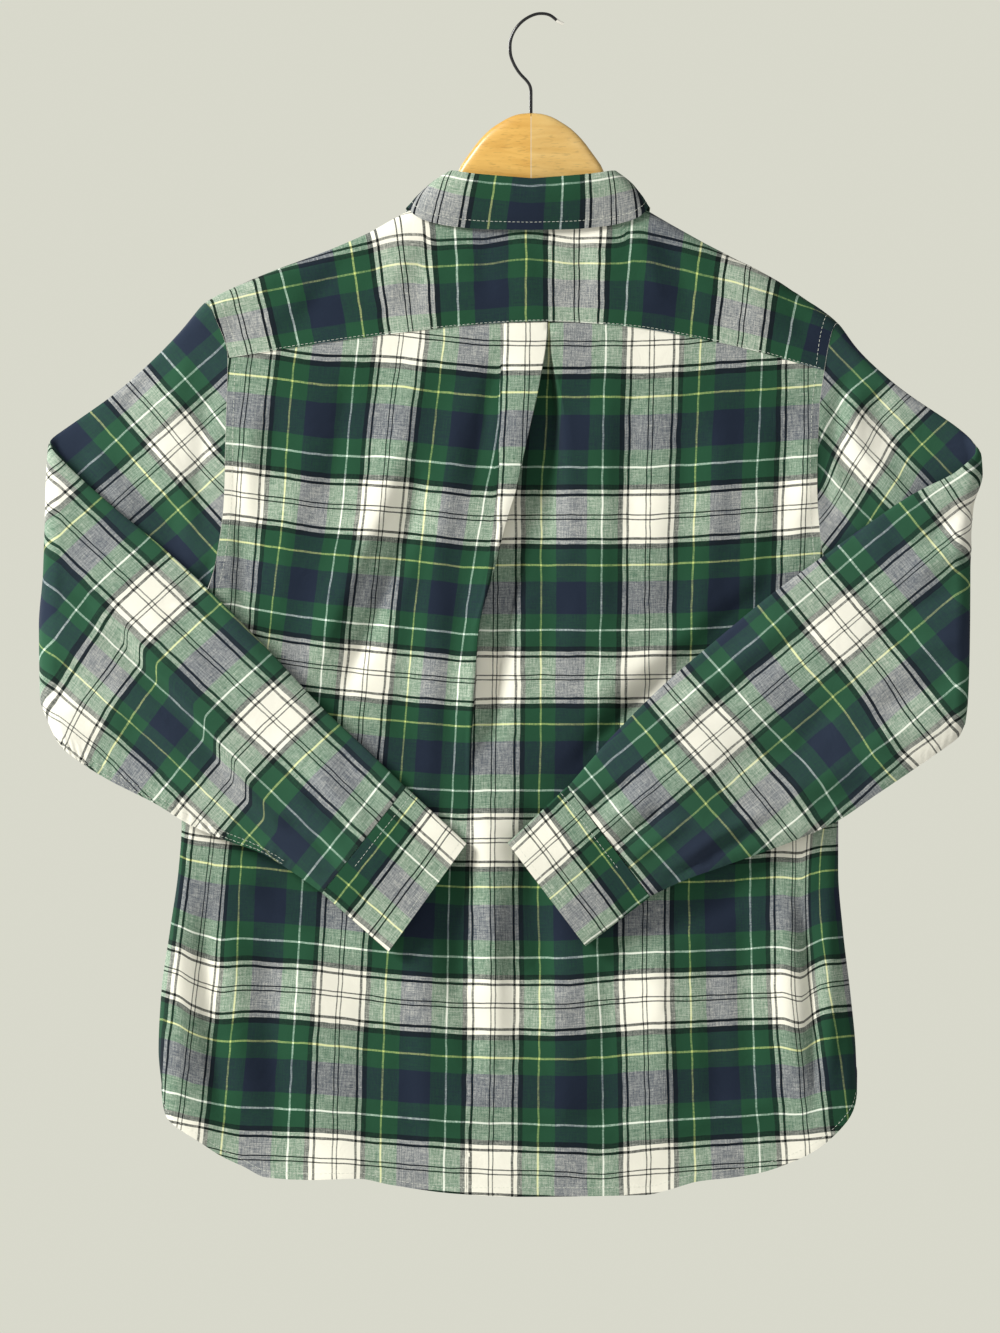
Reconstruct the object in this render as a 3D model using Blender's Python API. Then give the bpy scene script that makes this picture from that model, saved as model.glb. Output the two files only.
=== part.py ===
# A long-sleeved checked shirt on a wooden hanger. Its back faces -Y, +Z is up, and both sleeves
# are folded forward at the elbow so that the forearms cross the back panel.
# The origin is the point under the crown of the hook that a rail or nail carries.
# Sizes are in millimetres up to the moment a mesh is made, which turns them into metres.

import math

import bmesh
import bpy
import numpy as np

MM = 0.001

# Walls and gaps
CLOTH = 1.2
BAND = 1.6  # interlined cloth: collar, cuffs and front band
SEAM = 0.4  # between two pieces at a seam
LAP = 0.5  # between a piece and what it lies on
SIDE_SEAM = 1.0  # at the side folds, where the two walls meet edge to edge

# Torso: a flat tube of cloth hung from the hanger's arms
LIE_Y = 2.0  # middle of the torso at its centre line
SWEEP = 6.0  # how far the shoulders curve away from the back
SWEEP_REACH = 180.0
HALF_DEPTH = 9.0
BACK_SWELL = 4.0
FRONT_SWELL = 18.0
SWELL_START = 60.0  # drop over which the swell grows
ROLL = 10.0  # radius of the shoulder ridge and of the side folds
QUARTER = ROLL * math.pi / 2
SPARE = QUARTER - ROLL  # what a quarter turn adds to a flat measure
CENTRE_X = -12.0
STEP = 0.5  # between two points of the torso that give its slope

# Height of the shoulder ridge; inside the neck it is only a guide for the neckline
RIDGE = (  # across, height
    (-310, -292), (-303, -270), (-287, -248), (-267, -230.5), (-239, -216), (-206, -202.5), (-167, -188),
    (-134, -173.5), (-119, -165), (-105, -157.5), (-86, -151), (-50, -142), (-10, -130), (30, -140),
    (65, -148), (81, -154), (97, -163), (129, -181), (153, -193.5), (189, -212), (209, -225),
    (239, -247), (257, -274), (271, -293),
)

# Side folds, from above the underarm down past the hem
SIDES = (  # height, left edge, right edge
    (-230, -292, 262), (-500, -283.5, 249), (-560, -284.5, 243), (-649, -285.5, 239), (-684, -288, 239),
    (-730, -294.5, 242.5), (-785, -302, 249), (-828, -304, 253), (-862, -301, 254), (-950, -297, 252),
)

# Armhole seam, the same on the front and the back
ARMHOLE_LEFT = (  # down from the ridge, across
    (0, -267), (22, -259), (59, -249), (115, -250.5), (170, -252), (215, -258), (246, -270), (262, -289.2),
)
ARMHOLE_RIGHT = (
    (0, 239), (22, 233), (43, 229.5), (90, 224), (150, 222.5), (195, 226), (222, 236), (243, 254.7),
)

YOKE_SEAM = (  # across, height
    (-249, -273.6), (-143, -257.6), (-31, -245.6), (1, -244.2), (49, -246.4), (145, -261.6), (229.5, -284),
)
YOKE_FRONT = 50.0  # yoke's reach down the front at the neck
NECK_LOW = (-110, 86)  # stretch of the back yoke seam that lies below the neck
BACK_HEM = (  # across, height
    (-306.7, -862), (-300, -879), (-292, -888), (-271, -902), (-254, -913), (-236, -921.5), (-218, -930),
    (-183, -932), (-145, -931), (-118, -936), (-67, -943), (-17, -945.5), (85, -944), (105, -939.5),
    (128, -933), (155, -930), (178, -926), (199, -919), (221, -908.5), (236, -896.5), (247, -884),
    (256, -866), (259.7, -847),
)
FRONT_TAIL = 14.0  # how much shorter the front hem is
TAIL_FROM, TAIL_OVER = 0.02, 0.4  # where that starts along the hem, and over how much of it it grows

# Box pleat below the yoke; it opens out on its way down
PLEAT = (  # height, centre, how far open
    (-244, -11.6, 0.0), (-300, -14, 0.12), (-364, -19.5, 0.38), (-436, -30, 0.72), (-520, -36, 1.0),
    (-945, -37, 1.0),
)
PLEAT_BOX = 18.8  # half width of the box
PLEAT_UNDER = 11.0  # how far the cloth runs under the box
PLEAT_TURN = 1.1  # how far a folded edge stands out
PLEAT_STEP = 1.9  # from one layer to the next
PLEAT_LAYERS = (  # from the panel to the box: share of the way out, turned edge, layers up, cloth's share
    (0, 0, 0.0, 1.0), (0, -1, 0.5, 0.95), (0, 0, 1.0, 0.88), (1, 0, 1.0, 0.52), (1, 1, 1.5, 0.48),
    (1, 0, 2.0, 0.42),
)
BOX_LIFT = 2.15  # layers up at the middle of the box

# Soft folds of the hanging cloth: across at the top and at the hem, half width, where it starts, depth
BACK_FOLDS = ((-272, -280, 22, -660, 4.5), (212, 222, 24, -655, 4.5), (-150, -165, 26, -790, 3.0))
FRONT_FOLDS = (
    (-190, -215, 34, -330, 7.0), (-95, -105, 32, -450, 5.5), (80, 92, 34, -420, 6.0),
    (172, 196, 34, -330, 7.0),
)
FOLD_START = 130.0  # length over which a fold grows

# Neck
NECK_X = -9.0
NECK_HALF = 74.0
NECK_BACK = 40.0  # back neckline, down from the ridge
NECK_FRONT = 98.0
STAND_TOP = (  # angle from the back centre, height
    (0, -130.8), (45, -127), (75, -124.8), (90, -126), (100, -132), (110, -144), (120, -158), (135, -177),
    (150, -188), (188, -193),
)
STAND_X = -5.0
STAND_HALF = 64.5
STAND_BACK_Y = -12.0
STAND_FRONT_Y = 27.0
STAND_FULL = 0.45  # how square the oval's ends are
STAND_INSET = (  # angle from the back centre, stand's middle inside the neckline
    (0, 1.5), (80, 1.7), (92, 2.4), (102, 3.4), (122, 3.4), (140, 2.2), (186, 1.5),
)
STAND_LAP = 1.3  # each end's way out of the middle, where the two ends lap
STAND_LAP_FROM, STAND_LAP_OVER = 150, 25  # angles: where that starts, and over how much it grows
STAND_ROWS = (0, 0.34, 0.68, 1)  # shares of the way up
STAND_COLUMNS = (0, 20, 40, 58, 72, 80, 86, 91, 96, 102, 110, 124, 138, 152, 164, 175, 186)  # angles
LEAF_HALF = 96.0
LEAF_EDGE = (  # angle from the back centre, height of the leaf's lower edge on the back
    (0, -172), (20, -171.5), (40, -169), (60, -164), (75, -159), (90, -150),
)
NECK_COLUMNS = (0, 20, 40, 58, 72, 80, 86, 91, 96, 102, 110)  # angles, as far as the front yoke seam
LEAF_COLUMNS = (0, 14, 28, 42, 55, 66, 75, 82, 87, 91, 94, 97, 101, 106, 114, 125, 137, 150)  # angles
LEAF_OPENING = 168.0  # where the leaf's front edges leave the stand
LEAF_POINT_DOWN = 150.0
LEAF_ROLL = 4.0
LEAF_ROWS = (  # share of the way from the stand's top edge to the leaf's lower edge, share of the roll
    (0, 0), (0.12, 0.55), (0.35, 1), (0.65, 0.8), (1, 0),
)
LEAF_TURN_FROM, LEAF_TURN_OVER = 80, 40  # angles between the leaf's back and its fronts
LEAF_CLEAR = 2.4  # leaf's middle outside the stand's, along the top edge at the back
LEAF_FRONT_CLEAR = 4.0
LEAF_PROUD = 2.9  # leaf's middle above the cloth that it lies on

UNDERARM_CLEAR = 1.4  # where a sleeve turns away from the side fold
UNDERARM_FROM = 0.8  # share of the way down the armhole where that starts
SLEEVE_PLUMP = 0.4  # below 1, a fuller section
SLEEVE_BLEND = 4  # stations over which the armhole's ring turns into the tube
ELBOW_DEPTH = 4.5  # half depth of the sleeve at the elbow fold

# Sleeves. Travel is measured from the elbow fold: below zero on the upper arm, above it on the forearm.
ELBOW_LEFT_X = -396.0
ELBOW_RIGHT_X = 345.0
ELBOW_RADIUS = 7.5
ELBOW_Y = -4.5
SLEEVE_LEFT = (  # top travel, top height, lower travel, lower height, middle y, half depth
    (-129, -230.5, -107, -500, 7, 9), (-112, -247, -94, -512, 6.5, 9), (-92, -274, -77, -526, 5.5, 8),
    (-70, -294, -58, -541, 4.5, 7), (-45, -312, -37, -556, 3.5, 5.5), (-22, -328, -18, -569, 3, 4.6),
    (-9, -337, -8, -578, 3, 4.5), (0, -343, 1, -584, 3, 4.5), (9, -351, 10, -590, -12, 4.5),
    (24, -366, 20, -598, -12, 4.6), (52, -391, 44, -611, -11.8, 5.2), (99, -430, 85, -630, -11.6, 5.5),
    (140, -468, 116, -648, -12, 5.5), (182, -511, 145, -660, -13, 5.4), (223, -555, 173, -670, -14.4, 5.2),
    (258, -588, 198, -685, -16, 4.8), (289.2, -618, 222.2, -702, -17.8, 4.4),
)
SLEEVE_RIGHT = (
    (-106, -247, -90.3, -500, 6.5, 9), (-94, -262, -80, -508, 6, 9), (-80, -284, -66, -519, 5, 8),
    (-60, -300, -50, -532, 4.2, 6.8), (-37, -315, -31, -545, 3.4, 5.4), (-18, -329, -16, -556, 3, 4.6),
    (-8, -338, -8, -563, 3, 4.5), (0, -346, 0, -571, 3, 4.5), (8, -354, 9, -580, -12, 4.5),
    (20, -366, 20, -590, -12, 4.6), (46, -382, 42, -604, -11.8, 5.2), (84, -409, 72, -623, -11.6, 5.5),
    (120, -435, 106, -645, -12, 5.5), (158, -463, 137, -659, -13, 5.5), (204, -501, 170, -671, -14.4, 5.4),
    (246, -537, 198, -681, -16.6, 5.2), (286, -577, 229, -692, -18.4, 4.8),
    (321.7, -617.6, 256, -704.6, -19.4, 4.4),
)
FOLD_LEFT = (  # height, across
    (-342, -396), (-392, -396), (-444, -397), (-490, -400.5), (-546, -400.5), (-562, -396), (-585, -387),
    (-600, -381),
)
FOLD_RIGHT = (
    (-342, 353), (-353, 357), (-366, 357), (-394, 348.5), (-433, 345.5), (-546, 345), (-574, 343),
    (-592, 335),
)
FOLD_FADE = 55.0  # reach of the fold line's own waviness

CUFF_LEFT = (  # edge: across and height at the seam, then at the open end
    (-107, -618, -58.4, -663.2), (-173.6, -701.8, -120, -748.8),
)
CUFF_RIGHT = (
    (23, -617.6, -24.8, -663), (88.8, -704.8, 36.8, -744.4),
)
CUFF_Y_LEFT = (-17.8, -19.0)  # middle, at the seam and at the open end
CUFF_Y_RIGHT = (-19.4, -20.6)
CUFF_DEPTH = 3.9  # half depth
CUFF_SQUARE = 0.6  # below 1, flatter faces and tighter folds
CUFF_START = 0.68 * math.pi  # where the band's under end lies, as a turn round the wrist
CUFF_LAP = 0.07  # share of its girth by which the band laps itself
CUFF_RISE_FROM, CUFF_RISE_OVER = 0.35, 0.4  # turn before the lap where its outer end rises, and over how much
CUFF_COLUMNS = 21
CUFF_ROWS = (0.35, 0.7, 1.0)  # shares of its length, after the first
CUFF_CLEAR = 0.008  # share of the cuff's length that its seam takes
CUFF_BUTTON_THICK = 1.5
SLEEVE_SLIT = (0.62, 0.8)  # placket's place across the hidden face
SLIT_ROWS = 5  # sleeve stations that the placket runs along

PLACKET_HALF = 17.0
PLACKET_INNER = 6.0
PLACKET_SHORT = 1.5  # below the neckline
FRONT_LAP = 1.2  # each front's way out of the middle, where the two fronts lap
FRONT_LAP_REACH = 60.0
FRONT_BUTTONS = (-296, -388, -480, -572, -664, -756)  # heights
BUTTON_RADIUS = 5.6
BUTTON_THICK = 2.4
BUTTON_RIM = 0.5
BUTTON_SIDES = 20
COLLAR_BUTTON_PROUD = 0.6  # the stand's ends lap under it

# Hanger
STEM_X = -6.4
ARM_REACH = 215.0
ARM_HALF = 6.2
ARM_SEAT = 2.3  # wood below the ridge's middle surface
DOME = (  # out from the stem, top, bottom
    (0, -78.4, -142), (8, -79, -142.5), (16, -81.3, -143.5), (24, -85.6, -145), (32, -91, -147),
    (41, -99.8, -150), (50, -111.8, -154), (57, -122, -158), (61.5, -134, -162), (64.5, -146, -166),
    (68, -155, -170), (78, -161, -176), (90, -164, -184),
)
DOME_END, DOME_BLEND = 72.0, 30.0  # out from the stem: where the dome ends, and over how much an arm starts
ARM_DROP = 31.0  # height of an arm near the dome
ARM_DROP_FROM = 90.0
TIP_DROP = 22.0
STEM_Y = -3.0  # the wood's middle at the stem
BEND_FROM, BEND_OVER = 40.0, 60.0  # where the arms take on the shoulders' sweep
TIP_ROUND = 9.0  # length of the rounded tip
TIP_TURN = 9.5
TIP_KEPT = 0.35  # share of an arm's height left at its end
ARM_SIDES = 16
ARM_SQUARE_Y, ARM_SQUARE_Z = 0.7, 0.55  # below 1, a squarer section
ARM_OUTS = (8, 16, 24, 32, 41, 50, 57, 66, 80, 96, 112, 135, 160, 185, 203, 209, 213, ARM_REACH)
HOOK_WIRE = 1.25
HOOK_POINTS = 46
HOOK = (  # across, height
    (-6.4, -78), (-6.4, -68), (-6.4, -59), (-8.3, -54.5), (-15.6, -46.5), (-20.4, -38.5), (-23, -30.5),
    (-23.2, -23.5), (-21.6, -16.4), (-18, -10), (-12.6, -4.4), (-6.4, -0.7), (0, 1.25), (6.4, 0.9),
    (11.4, -1.7), (15.4, -5.4), (20.6, -7.6),
)

TARTAN_GREEN = (0.045, 0.115, 0.06, 1)
COLOURS = {
    "cloth": TARTAN_GREEN,
    "band": (0.16, 0.22, 0.16, 1),
    "button": (0.72, 0.69, 0.6, 1),
    "wood": (0.62, 0.33, 0.1, 1),
    "wire": (0.03, 0.03, 0.032, 1),
}
FINISH = {"cloth": (0.9, 0), "band": (0.88, 0), "button": (0.35, 0), "wood": (0.4, 0), "wire": (0.35, 0.9)}


def clear_scene():
    for thing in list(bpy.data.objects):
        bpy.data.objects.remove(thing, do_unlink=True)


def finish(name):
    """The material of this name, made once."""
    material = bpy.data.materials.get(name) or bpy.data.materials.new(name)
    material.use_nodes = True
    shader = material.node_tree.nodes["Principled BSDF"]
    shader.inputs["Base Color"].default_value = COLOURS[name]
    shader.inputs["Roughness"].default_value = FINISH[name][0]
    shader.inputs["Metallic"].default_value = FINISH[name][1]
    return material


def smooth(table, column=1):
    """A curve through one column of a table against its first: monotone cubic, so it never overshoots."""
    rows = np.array(sorted(table), float)
    at, value = rows[:, 0], rows[:, column]
    step = np.diff(at)
    rise = np.diff(value) / step
    slope = np.concatenate([rise[:1], np.zeros(len(at) - 2), rise[-1:]])
    same = rise[:-1] * rise[1:] > 0
    both = np.where(same, rise[:-1] + rise[1:], 1.0)
    slope[1:-1] = np.where(same, 2 * rise[:-1] * rise[1:] / both, 0.0)

    def curve(x):
        x = np.clip(np.asarray(x, float), at[0], at[-1])
        i = np.clip(np.searchsorted(at, x, side="right") - 1, 0, len(step) - 1)
        t = (x - at[i]) / step[i]
        start = value[i] * (1 + 2 * t) * (1 - t) ** 2 + slope[i] * step[i] * t * (1 - t) ** 2
        end = value[i + 1] * t * t * (3 - 2 * t) + slope[i + 1] * step[i] * t * t * (t - 1)
        return start + end

    return curve


def ease(x):
    x = np.clip(x, 0, 1)
    return x * x * (3 - 2 * x)


ridge = smooth(RIDGE)
left_fold = smooth(SIDES, 1)
right_fold = smooth(SIDES, 2)
yoke_seam = smooth(YOKE_SEAM)
back_hem = smooth(BACK_HEM)


def roll(distance):
    """A flat measure bent round a quarter turn: (how far in it reaches, how much of the depth it has)."""
    angle = np.clip(distance / ROLL, 0, math.pi / 2)
    return ROLL * (1 - np.cos(angle)) + np.maximum(distance - QUARTER, 0), np.sin(angle)


def lie(across):
    return LIE_Y + SWEEP * (1 - np.exp(-(((across - CENTRE_X) / SWEEP_REACH) ** 2)))


def folds(across, height, table):
    """How far the soft folds stand out of the cloth."""
    out = np.zeros_like(across)
    for top_x, hem_x, half_width, start, depth in table:
        way = np.clip((start - height) / (start - BACK_HEM[0][1]), 0, 1)
        middle = top_x + (hem_x - top_x) * way
        crest = np.exp(-(((across - middle) / half_width) ** 2))
        out = out + depth * ease((start - height) / FOLD_START) * crest
    return out


def torso(across, down):
    """Points of the torso's cloth. down is measured over the ridge, below zero on the back."""
    across, down = np.broadcast_arrays(np.asarray(across, float), np.asarray(down, float))
    face = np.where(down < 0, -1.0, 1.0)
    drop, top_share = roll(np.abs(down))
    z = ridge(across) - drop
    left, right = left_fold(z), right_fold(z)
    from_left, left_share = roll(across - left + SPARE)
    from_right, right_share = roll(right + SPARE - across)
    middle = (left + right) / 2
    x = np.where(across < middle, left + from_left, right - from_right)
    share = (x - middle) / ((right - left) / 2)
    swell = np.where(face < 0, BACK_SWELL, FRONT_SWELL) * (1 - np.clip(share, -1, 1) ** 2) ** 2
    depth = HALF_DEPTH * top_share * left_share * right_share + swell * ease(drop / SWELL_START)
    folded = np.where(face < 0, folds(x, z, BACK_FOLDS), folds(x, z, FRONT_FOLDS))
    depth = depth + folded * left_share * right_share
    return np.stack([x, lie(x) + face * depth, z], axis=-1)


def down_at(across, height):
    """How far down over the ridge a height lies."""
    drop = np.maximum(ridge(across) - height, 0)
    return np.where(drop < ROLL, ROLL * np.arccos(1 - np.minimum(drop / ROLL, 1)), drop + SPARE)


def outward(grid, closed=False):
    """Unit normals of a grid of points, rows by columns."""
    along = np.gradient(grid, axis=0)
    if closed:
        across = np.roll(grid, -1, axis=1) - np.roll(grid, 1, axis=1)
    else:
        across = np.gradient(grid, axis=1)
    normal = np.cross(across, along)
    return normal / np.maximum(np.linalg.norm(normal, axis=-1, keepdims=True), 1e-9)


def quads(index):
    corners = index[:-1, :-1], index[:-1, 1:], index[1:, 1:], index[1:, :-1]
    return np.stack([c.ravel() for c in corners], axis=1)


def make_object(name, points, faces, material, parent, round_piece=False):
    mesh = bpy.data.meshes.new(name)
    mesh.from_pydata([tuple(p) for p in np.asarray(points) * MM], [], [tuple(map(int, f)) for f in faces])
    work = bmesh.new()
    work.from_mesh(mesh)
    bmesh.ops.recalc_face_normals(work, faces=work.faces)
    work.to_mesh(mesh)
    work.free()
    mesh.materials.append(finish(material))
    if round_piece:
        mesh.shade_smooth()
        mesh.set_sharp_from_angle(angle=math.radians(40))
    piece = bpy.data.objects.new(name, mesh)
    bpy.context.collection.objects.link(piece)
    piece.parent = parent
    return piece


def shell(name, middle, wall, parent, closed=False, material="cloth"):
    """A cloth wall on a grid of middle points; closed joins its last column to its first."""
    normal = outward(middle, closed) * wall / 2
    points = np.concatenate([(middle + normal).reshape(-1, 3), (middle - normal).reshape(-1, 3)])
    rows, columns = middle.shape[:2]
    count = rows * columns
    index = np.arange(count).reshape(rows, columns)
    if closed:
        index = np.hstack([index, index[:, :1]])
    front = quads(index)
    rims = [index[0], index[-1][::-1]]
    if not closed:
        rims += [index[::-1, 0], index[:, -1]]
    edges = [np.stack([rim[1:], rim[:-1], rim[:-1] + count, rim[1:] + count], axis=1) for rim in rims]
    faces = np.concatenate([front, front[:, ::-1] + count, *edges])
    return make_object(name, points, faces, material, parent)


def coons(bottom, top, left, right, rows, columns):
    """A grid between four edges, each a list of points; rows and columns are the shares of the way."""
    v, s = np.asarray(rows)[:, None, None], np.asarray(columns)[None, :, None]
    ruled = (1 - v) * bottom[None] + v * top[None] + (1 - s) * left[:, None] + s * right[:, None]
    corners = (1 - v) * ((1 - s) * bottom[0] + s * bottom[-1]) + v * ((1 - s) * top[0] + s * top[-1])
    return ruled - corners


def pair(first, second):
    return np.stack(np.broadcast_arrays(first, second), axis=-1).astype(float)


# Rows that the torso's panels, the yoke and the sleeves share, so that their seams have the same points
SIDE_ROWS = np.array([0, 0.1, 0.2, 0.31, 0.43, 0.55, 0.67, 0.79, 0.9, 1.0])  # hem corner to underarm
ARM_SHARES = np.array([1, 0.955, 0.9, 0.78, 0.48, 0.0])  # underarm to yoke seam
YOKE_ROWS = 9
RIDGE_ROWS = (-QUARTER, -7.0, 0.0, 7.0, QUARTER)  # the yoke's own rows over the ridge
ROW_CLEAR = 2.0
YOKE_PULL = (1, 0.95, 0.9, 0.84, 0.65, 0.4, 0.15)  # how the yoke's columns follow its armhole edge
SIDE_SHARE = 0.6
PANEL_ROWS = np.concatenate([SIDE_ROWS * SIDE_SHARE, SIDE_SHARE + (1 - SIDE_SHARE) * (1 - ARM_SHARES[1:])])
EDGE_COLUMNS = np.array([0, 0.018, 0.04, 0.065, 0.16, 0.28, 0.42, 0.55, 0.66, 0.73, 0.81, 0.9, 1.0])
YOKE_SHARE = 0.66  # the columns up to here meet the front yoke seam, and the rest the neckline


def armhole_downs(armhole, seam_down):
    """Distances down the armhole, from the underarm to the yoke seam."""
    deepest = max(row[0] for row in armhole)
    return seam_down + (deepest - seam_down) * ARM_SHARES


def seam_down(side):
    across = YOKE_SEAM[0][0] if side < 0 else YOKE_SEAM[-1][0]
    return float(down_at(across, yoke_seam(across)))


def panel_side(side, gap=SEAM / 2):
    """A torso panel's outer edge, flat: side seam from the hem to the underarm, then the armhole."""
    fold = left_fold if side < 0 else right_fold
    armhole = ARMHOLE_LEFT if side < 0 else ARMHOLE_RIGHT
    arm = smooth(armhole)
    hem_z = BACK_HEM[0][1] if side < 0 else BACK_HEM[-1][1]
    downs = armhole_downs(armhole, seam_down(side))
    arm_x = arm(downs)
    arm_z = ridge(arm_x) - (downs - SPARE)
    seam_z = hem_z + (arm_z[0] - hem_z) * SIDE_ROWS
    seam_x = fold(seam_z) + side * SPARE
    seam_gap = np.where(np.arange(len(seam_z) + len(arm_z) - 1) < len(seam_z), SIDE_SEAM / 2, gap)
    x = np.concatenate([seam_x, arm_x[1:]]) - side * seam_gap
    z = np.concatenate([seam_z, arm_z[1:]])
    z[-1] -= SEAM
    return pair(x, z)


def on_torso(flat, face):
    across, height = flat[..., 0], flat[..., 1]
    return torso(across, face * down_at(across, height))


def pleat_strip(heights):
    """Across and lift of the box pleat's middle points, a row for each height."""
    centre = smooth(PLEAT, 1)(heights)[:, None]
    opened = smooth(PLEAT, 2)(heights)[:, None]
    share, turned, layers, cloth = np.array(PLEAT_LAYERS, float).T
    valley = PLEAT_BOX - PLEAT_UNDER
    out = valley + (PLEAT_BOX - valley) * share + PLEAT_TURN * turned
    spread = cloth * (PLEAT_BOX + 2 * PLEAT_UNDER)
    out = np.concatenate([-out, [0], out[::-1]])[None]
    spread = np.concatenate([-spread, [0], spread[::-1]])[None]
    lift = np.concatenate([layers, [BOX_LIFT], layers[::-1]])[None] * PLEAT_STEP
    across = centre + out * (1 - opened) + spread * opened
    return across, lift * (1 - opened)


def make_back(parent):
    left, right = panel_side(-1), panel_side(1)
    v = PANEL_ROWS
    hem_z, top_z = back_hem(PLEAT[-1][1]), yoke_seam(PLEAT[0][1])
    heights = hem_z + (top_z - hem_z) * v
    across, lift = pleat_strip(heights)
    near, far = across[:, 0], across[:, -1]
    grids = []
    for edge, inner, flip in ((left, near, False), (right, far, True)):
        s = EDGE_COLUMNS
        hem_x = edge[0, 0] + (inner[0] - edge[0, 0]) * s
        top_x = edge[-1, 0] + (inner[-1] - edge[-1, 0]) * s
        bottom = pair(hem_x, back_hem(hem_x))
        top = pair(top_x, yoke_seam(top_x) - SEAM)
        bottom[0], top[0] = edge[0], edge[-1]
        inside = pair(inner, heights)
        inside[0], inside[-1] = bottom[-1], top[-1]
        flat = coons(bottom, top, edge, inside, v, s)
        points = on_torso(flat, -1)
        grids.append(points[:, ::-1] if flip else points)
    middle = heights[:, None] + (grids[0][:, -1, 2] - heights)[:, None] * np.ones_like(across)
    middle[-1] = yoke_seam(across[-1]) - SEAM
    middle[0] = back_hem(across[0])
    strip = on_torso(pair(across, middle), -1)
    strip[..., 1] -= lift
    return shell("back_body", np.hstack([grids[0], strip[:, 1:-1], grids[1]]), CLOTH, parent)


def neckline(angle, inset=0.0):
    """Across and down of the neckline at an angle, in radians, from the back centre."""
    turn = np.cos(angle)
    reach = np.where(turn > 0, NECK_BACK - inset, NECK_FRONT - inset)
    return NECK_X + (NECK_HALF - inset) * np.sin(angle), -reach * turn


YOKE_NECK = math.pi / 2 + math.asin(YOKE_FRONT / NECK_FRONT)  # where the front yoke seam meets the neckline


def yoke_rows(low, high):
    """A yoke column's distances down, from the back seam at low, with fixed rows over the ridge, to high."""
    fixed = [row for row in RIDGE_ROWS if row < high - ROW_CLEAR]
    start = [low, (low + fixed[0]) / 2, *fixed] if fixed else [low]
    rest = np.linspace(start[-1], high, YOKE_ROWS - len(start) + 1)[1:]
    return np.concatenate([start, rest])


def make_yoke(parent):
    gap = SEAM / 2
    half = np.append(np.radians(NECK_COLUMNS), YOKE_NECK)
    angles = np.concatenate([-half[:0:-1], half])
    neck_x, neck_down = neckline(angles)
    ends = [float(smooth(ARMHOLE_LEFT)(seam_down(-1))), float(smooth(ARMHOLE_RIGHT)(seam_down(1)))]
    downs = [seam_down(-1), seam_down(1)]
    steps = EDGE_COLUMNS[EDGE_COLUMNS < YOKE_SHARE] / YOKE_SHARE
    front_left, front_right = (
        pair(end + (neck_x[k] - end) * steps, down + (neck_down[k] - down) * steps)
        for k, end, down in ((0, ends[0], downs[0]), (-1, ends[1], downs[1]))
    )
    top = np.concatenate([front_left, pair(neck_x, neck_down), front_right[::-1]])
    low_x = np.concatenate([
        ends[0] + (NECK_LOW[0] - ends[0]) * steps,
        np.interp(angles, [angles[0], angles[-1]], NECK_LOW),
        (ends[1] + (NECK_LOW[1] - ends[1]) * steps)[::-1],
    ])
    low_down = -down_at(low_x, yoke_seam(low_x) + gap)
    grid = np.zeros((YOKE_ROWS, len(top), 2))
    for column, (x, down, (top_x, top_down)) in enumerate(zip(low_x, low_down, top)):
        rows = yoke_rows(down, top_down)
        grid[:, column, 0] = x + (top_x - x) * (rows - down) / (top_down - down)
        grid[:, column, 1] = rows
    for side, armhole in ((-1, ARMHOLE_LEFT), (1, ARMHOLE_RIGHT)):
        outer = 0 if side < 0 else -1
        pull = smooth(armhole)(np.abs(grid[:, outer, 1])) - side * gap - grid[:, outer, 0]
        for k, share in enumerate(YOKE_PULL):
            grid[:, outer - side * k, 0] += pull * share
    grid[-1, :, 1] -= gap
    return shell("yoke", torso(grid[..., 0], grid[..., 1]), CLOTH, parent)


def make_front(name, side, parent):
    """side is -1 for the wearer's left front, which laps over the other."""
    edge = panel_side(side)
    s = EDGE_COLUMNS
    lap_x = CENTRE_X + PLACKET_HALF if side < 0 else CENTRE_X - PLACKET_HALF
    hem_x = edge[0, 0] + (lap_x - edge[0, 0]) * s
    bottom = pair(hem_x, back_hem(hem_x) + FRONT_TAIL * ease((s - TAIL_FROM) / TAIL_OVER))
    bottom[0] = edge[0]
    seam = s[s < YOKE_SHARE]
    corner_x, corner_down = neckline(side * YOKE_NECK)
    end_x, end_down = edge[-1, 0], down_at(edge[-1, 0], edge[-1, 1])
    along = seam / YOKE_SHARE
    top_x = end_x + (corner_x - end_x) * along
    top_down = end_down + (corner_down - end_down) * along + SEAM / 2
    meet = math.pi - math.asin((lap_x - NECK_X) / NECK_HALF) * side
    angles = YOKE_NECK + (meet - YOKE_NECK) * ((s[s >= YOKE_SHARE] - YOKE_SHARE) / (1 - YOKE_SHARE))
    neck_x, neck_down = neckline(side * angles)
    top_x = np.concatenate([top_x, neck_x])
    top_down = np.concatenate([top_down, neck_down + SEAM / 2])
    top = pair(top_x, ridge(top_x) - (top_down - SPARE))
    top[0] = edge[-1]
    v = PANEL_ROWS
    inside = pair(lap_x, bottom[-1, 1] + (top[-1, 1] - bottom[-1, 1]) * v)
    flat = coons(bottom, top, edge, inside, v, s)
    points = on_torso(flat, 1)
    lap = ease(1 - np.abs(points[..., 0] - lap_x) / FRONT_LAP_REACH)
    points[..., 1] -= side * FRONT_LAP * lap
    return shell(name, points if side < 0 else points[:, ::-1], CLOTH, parent), points


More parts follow.
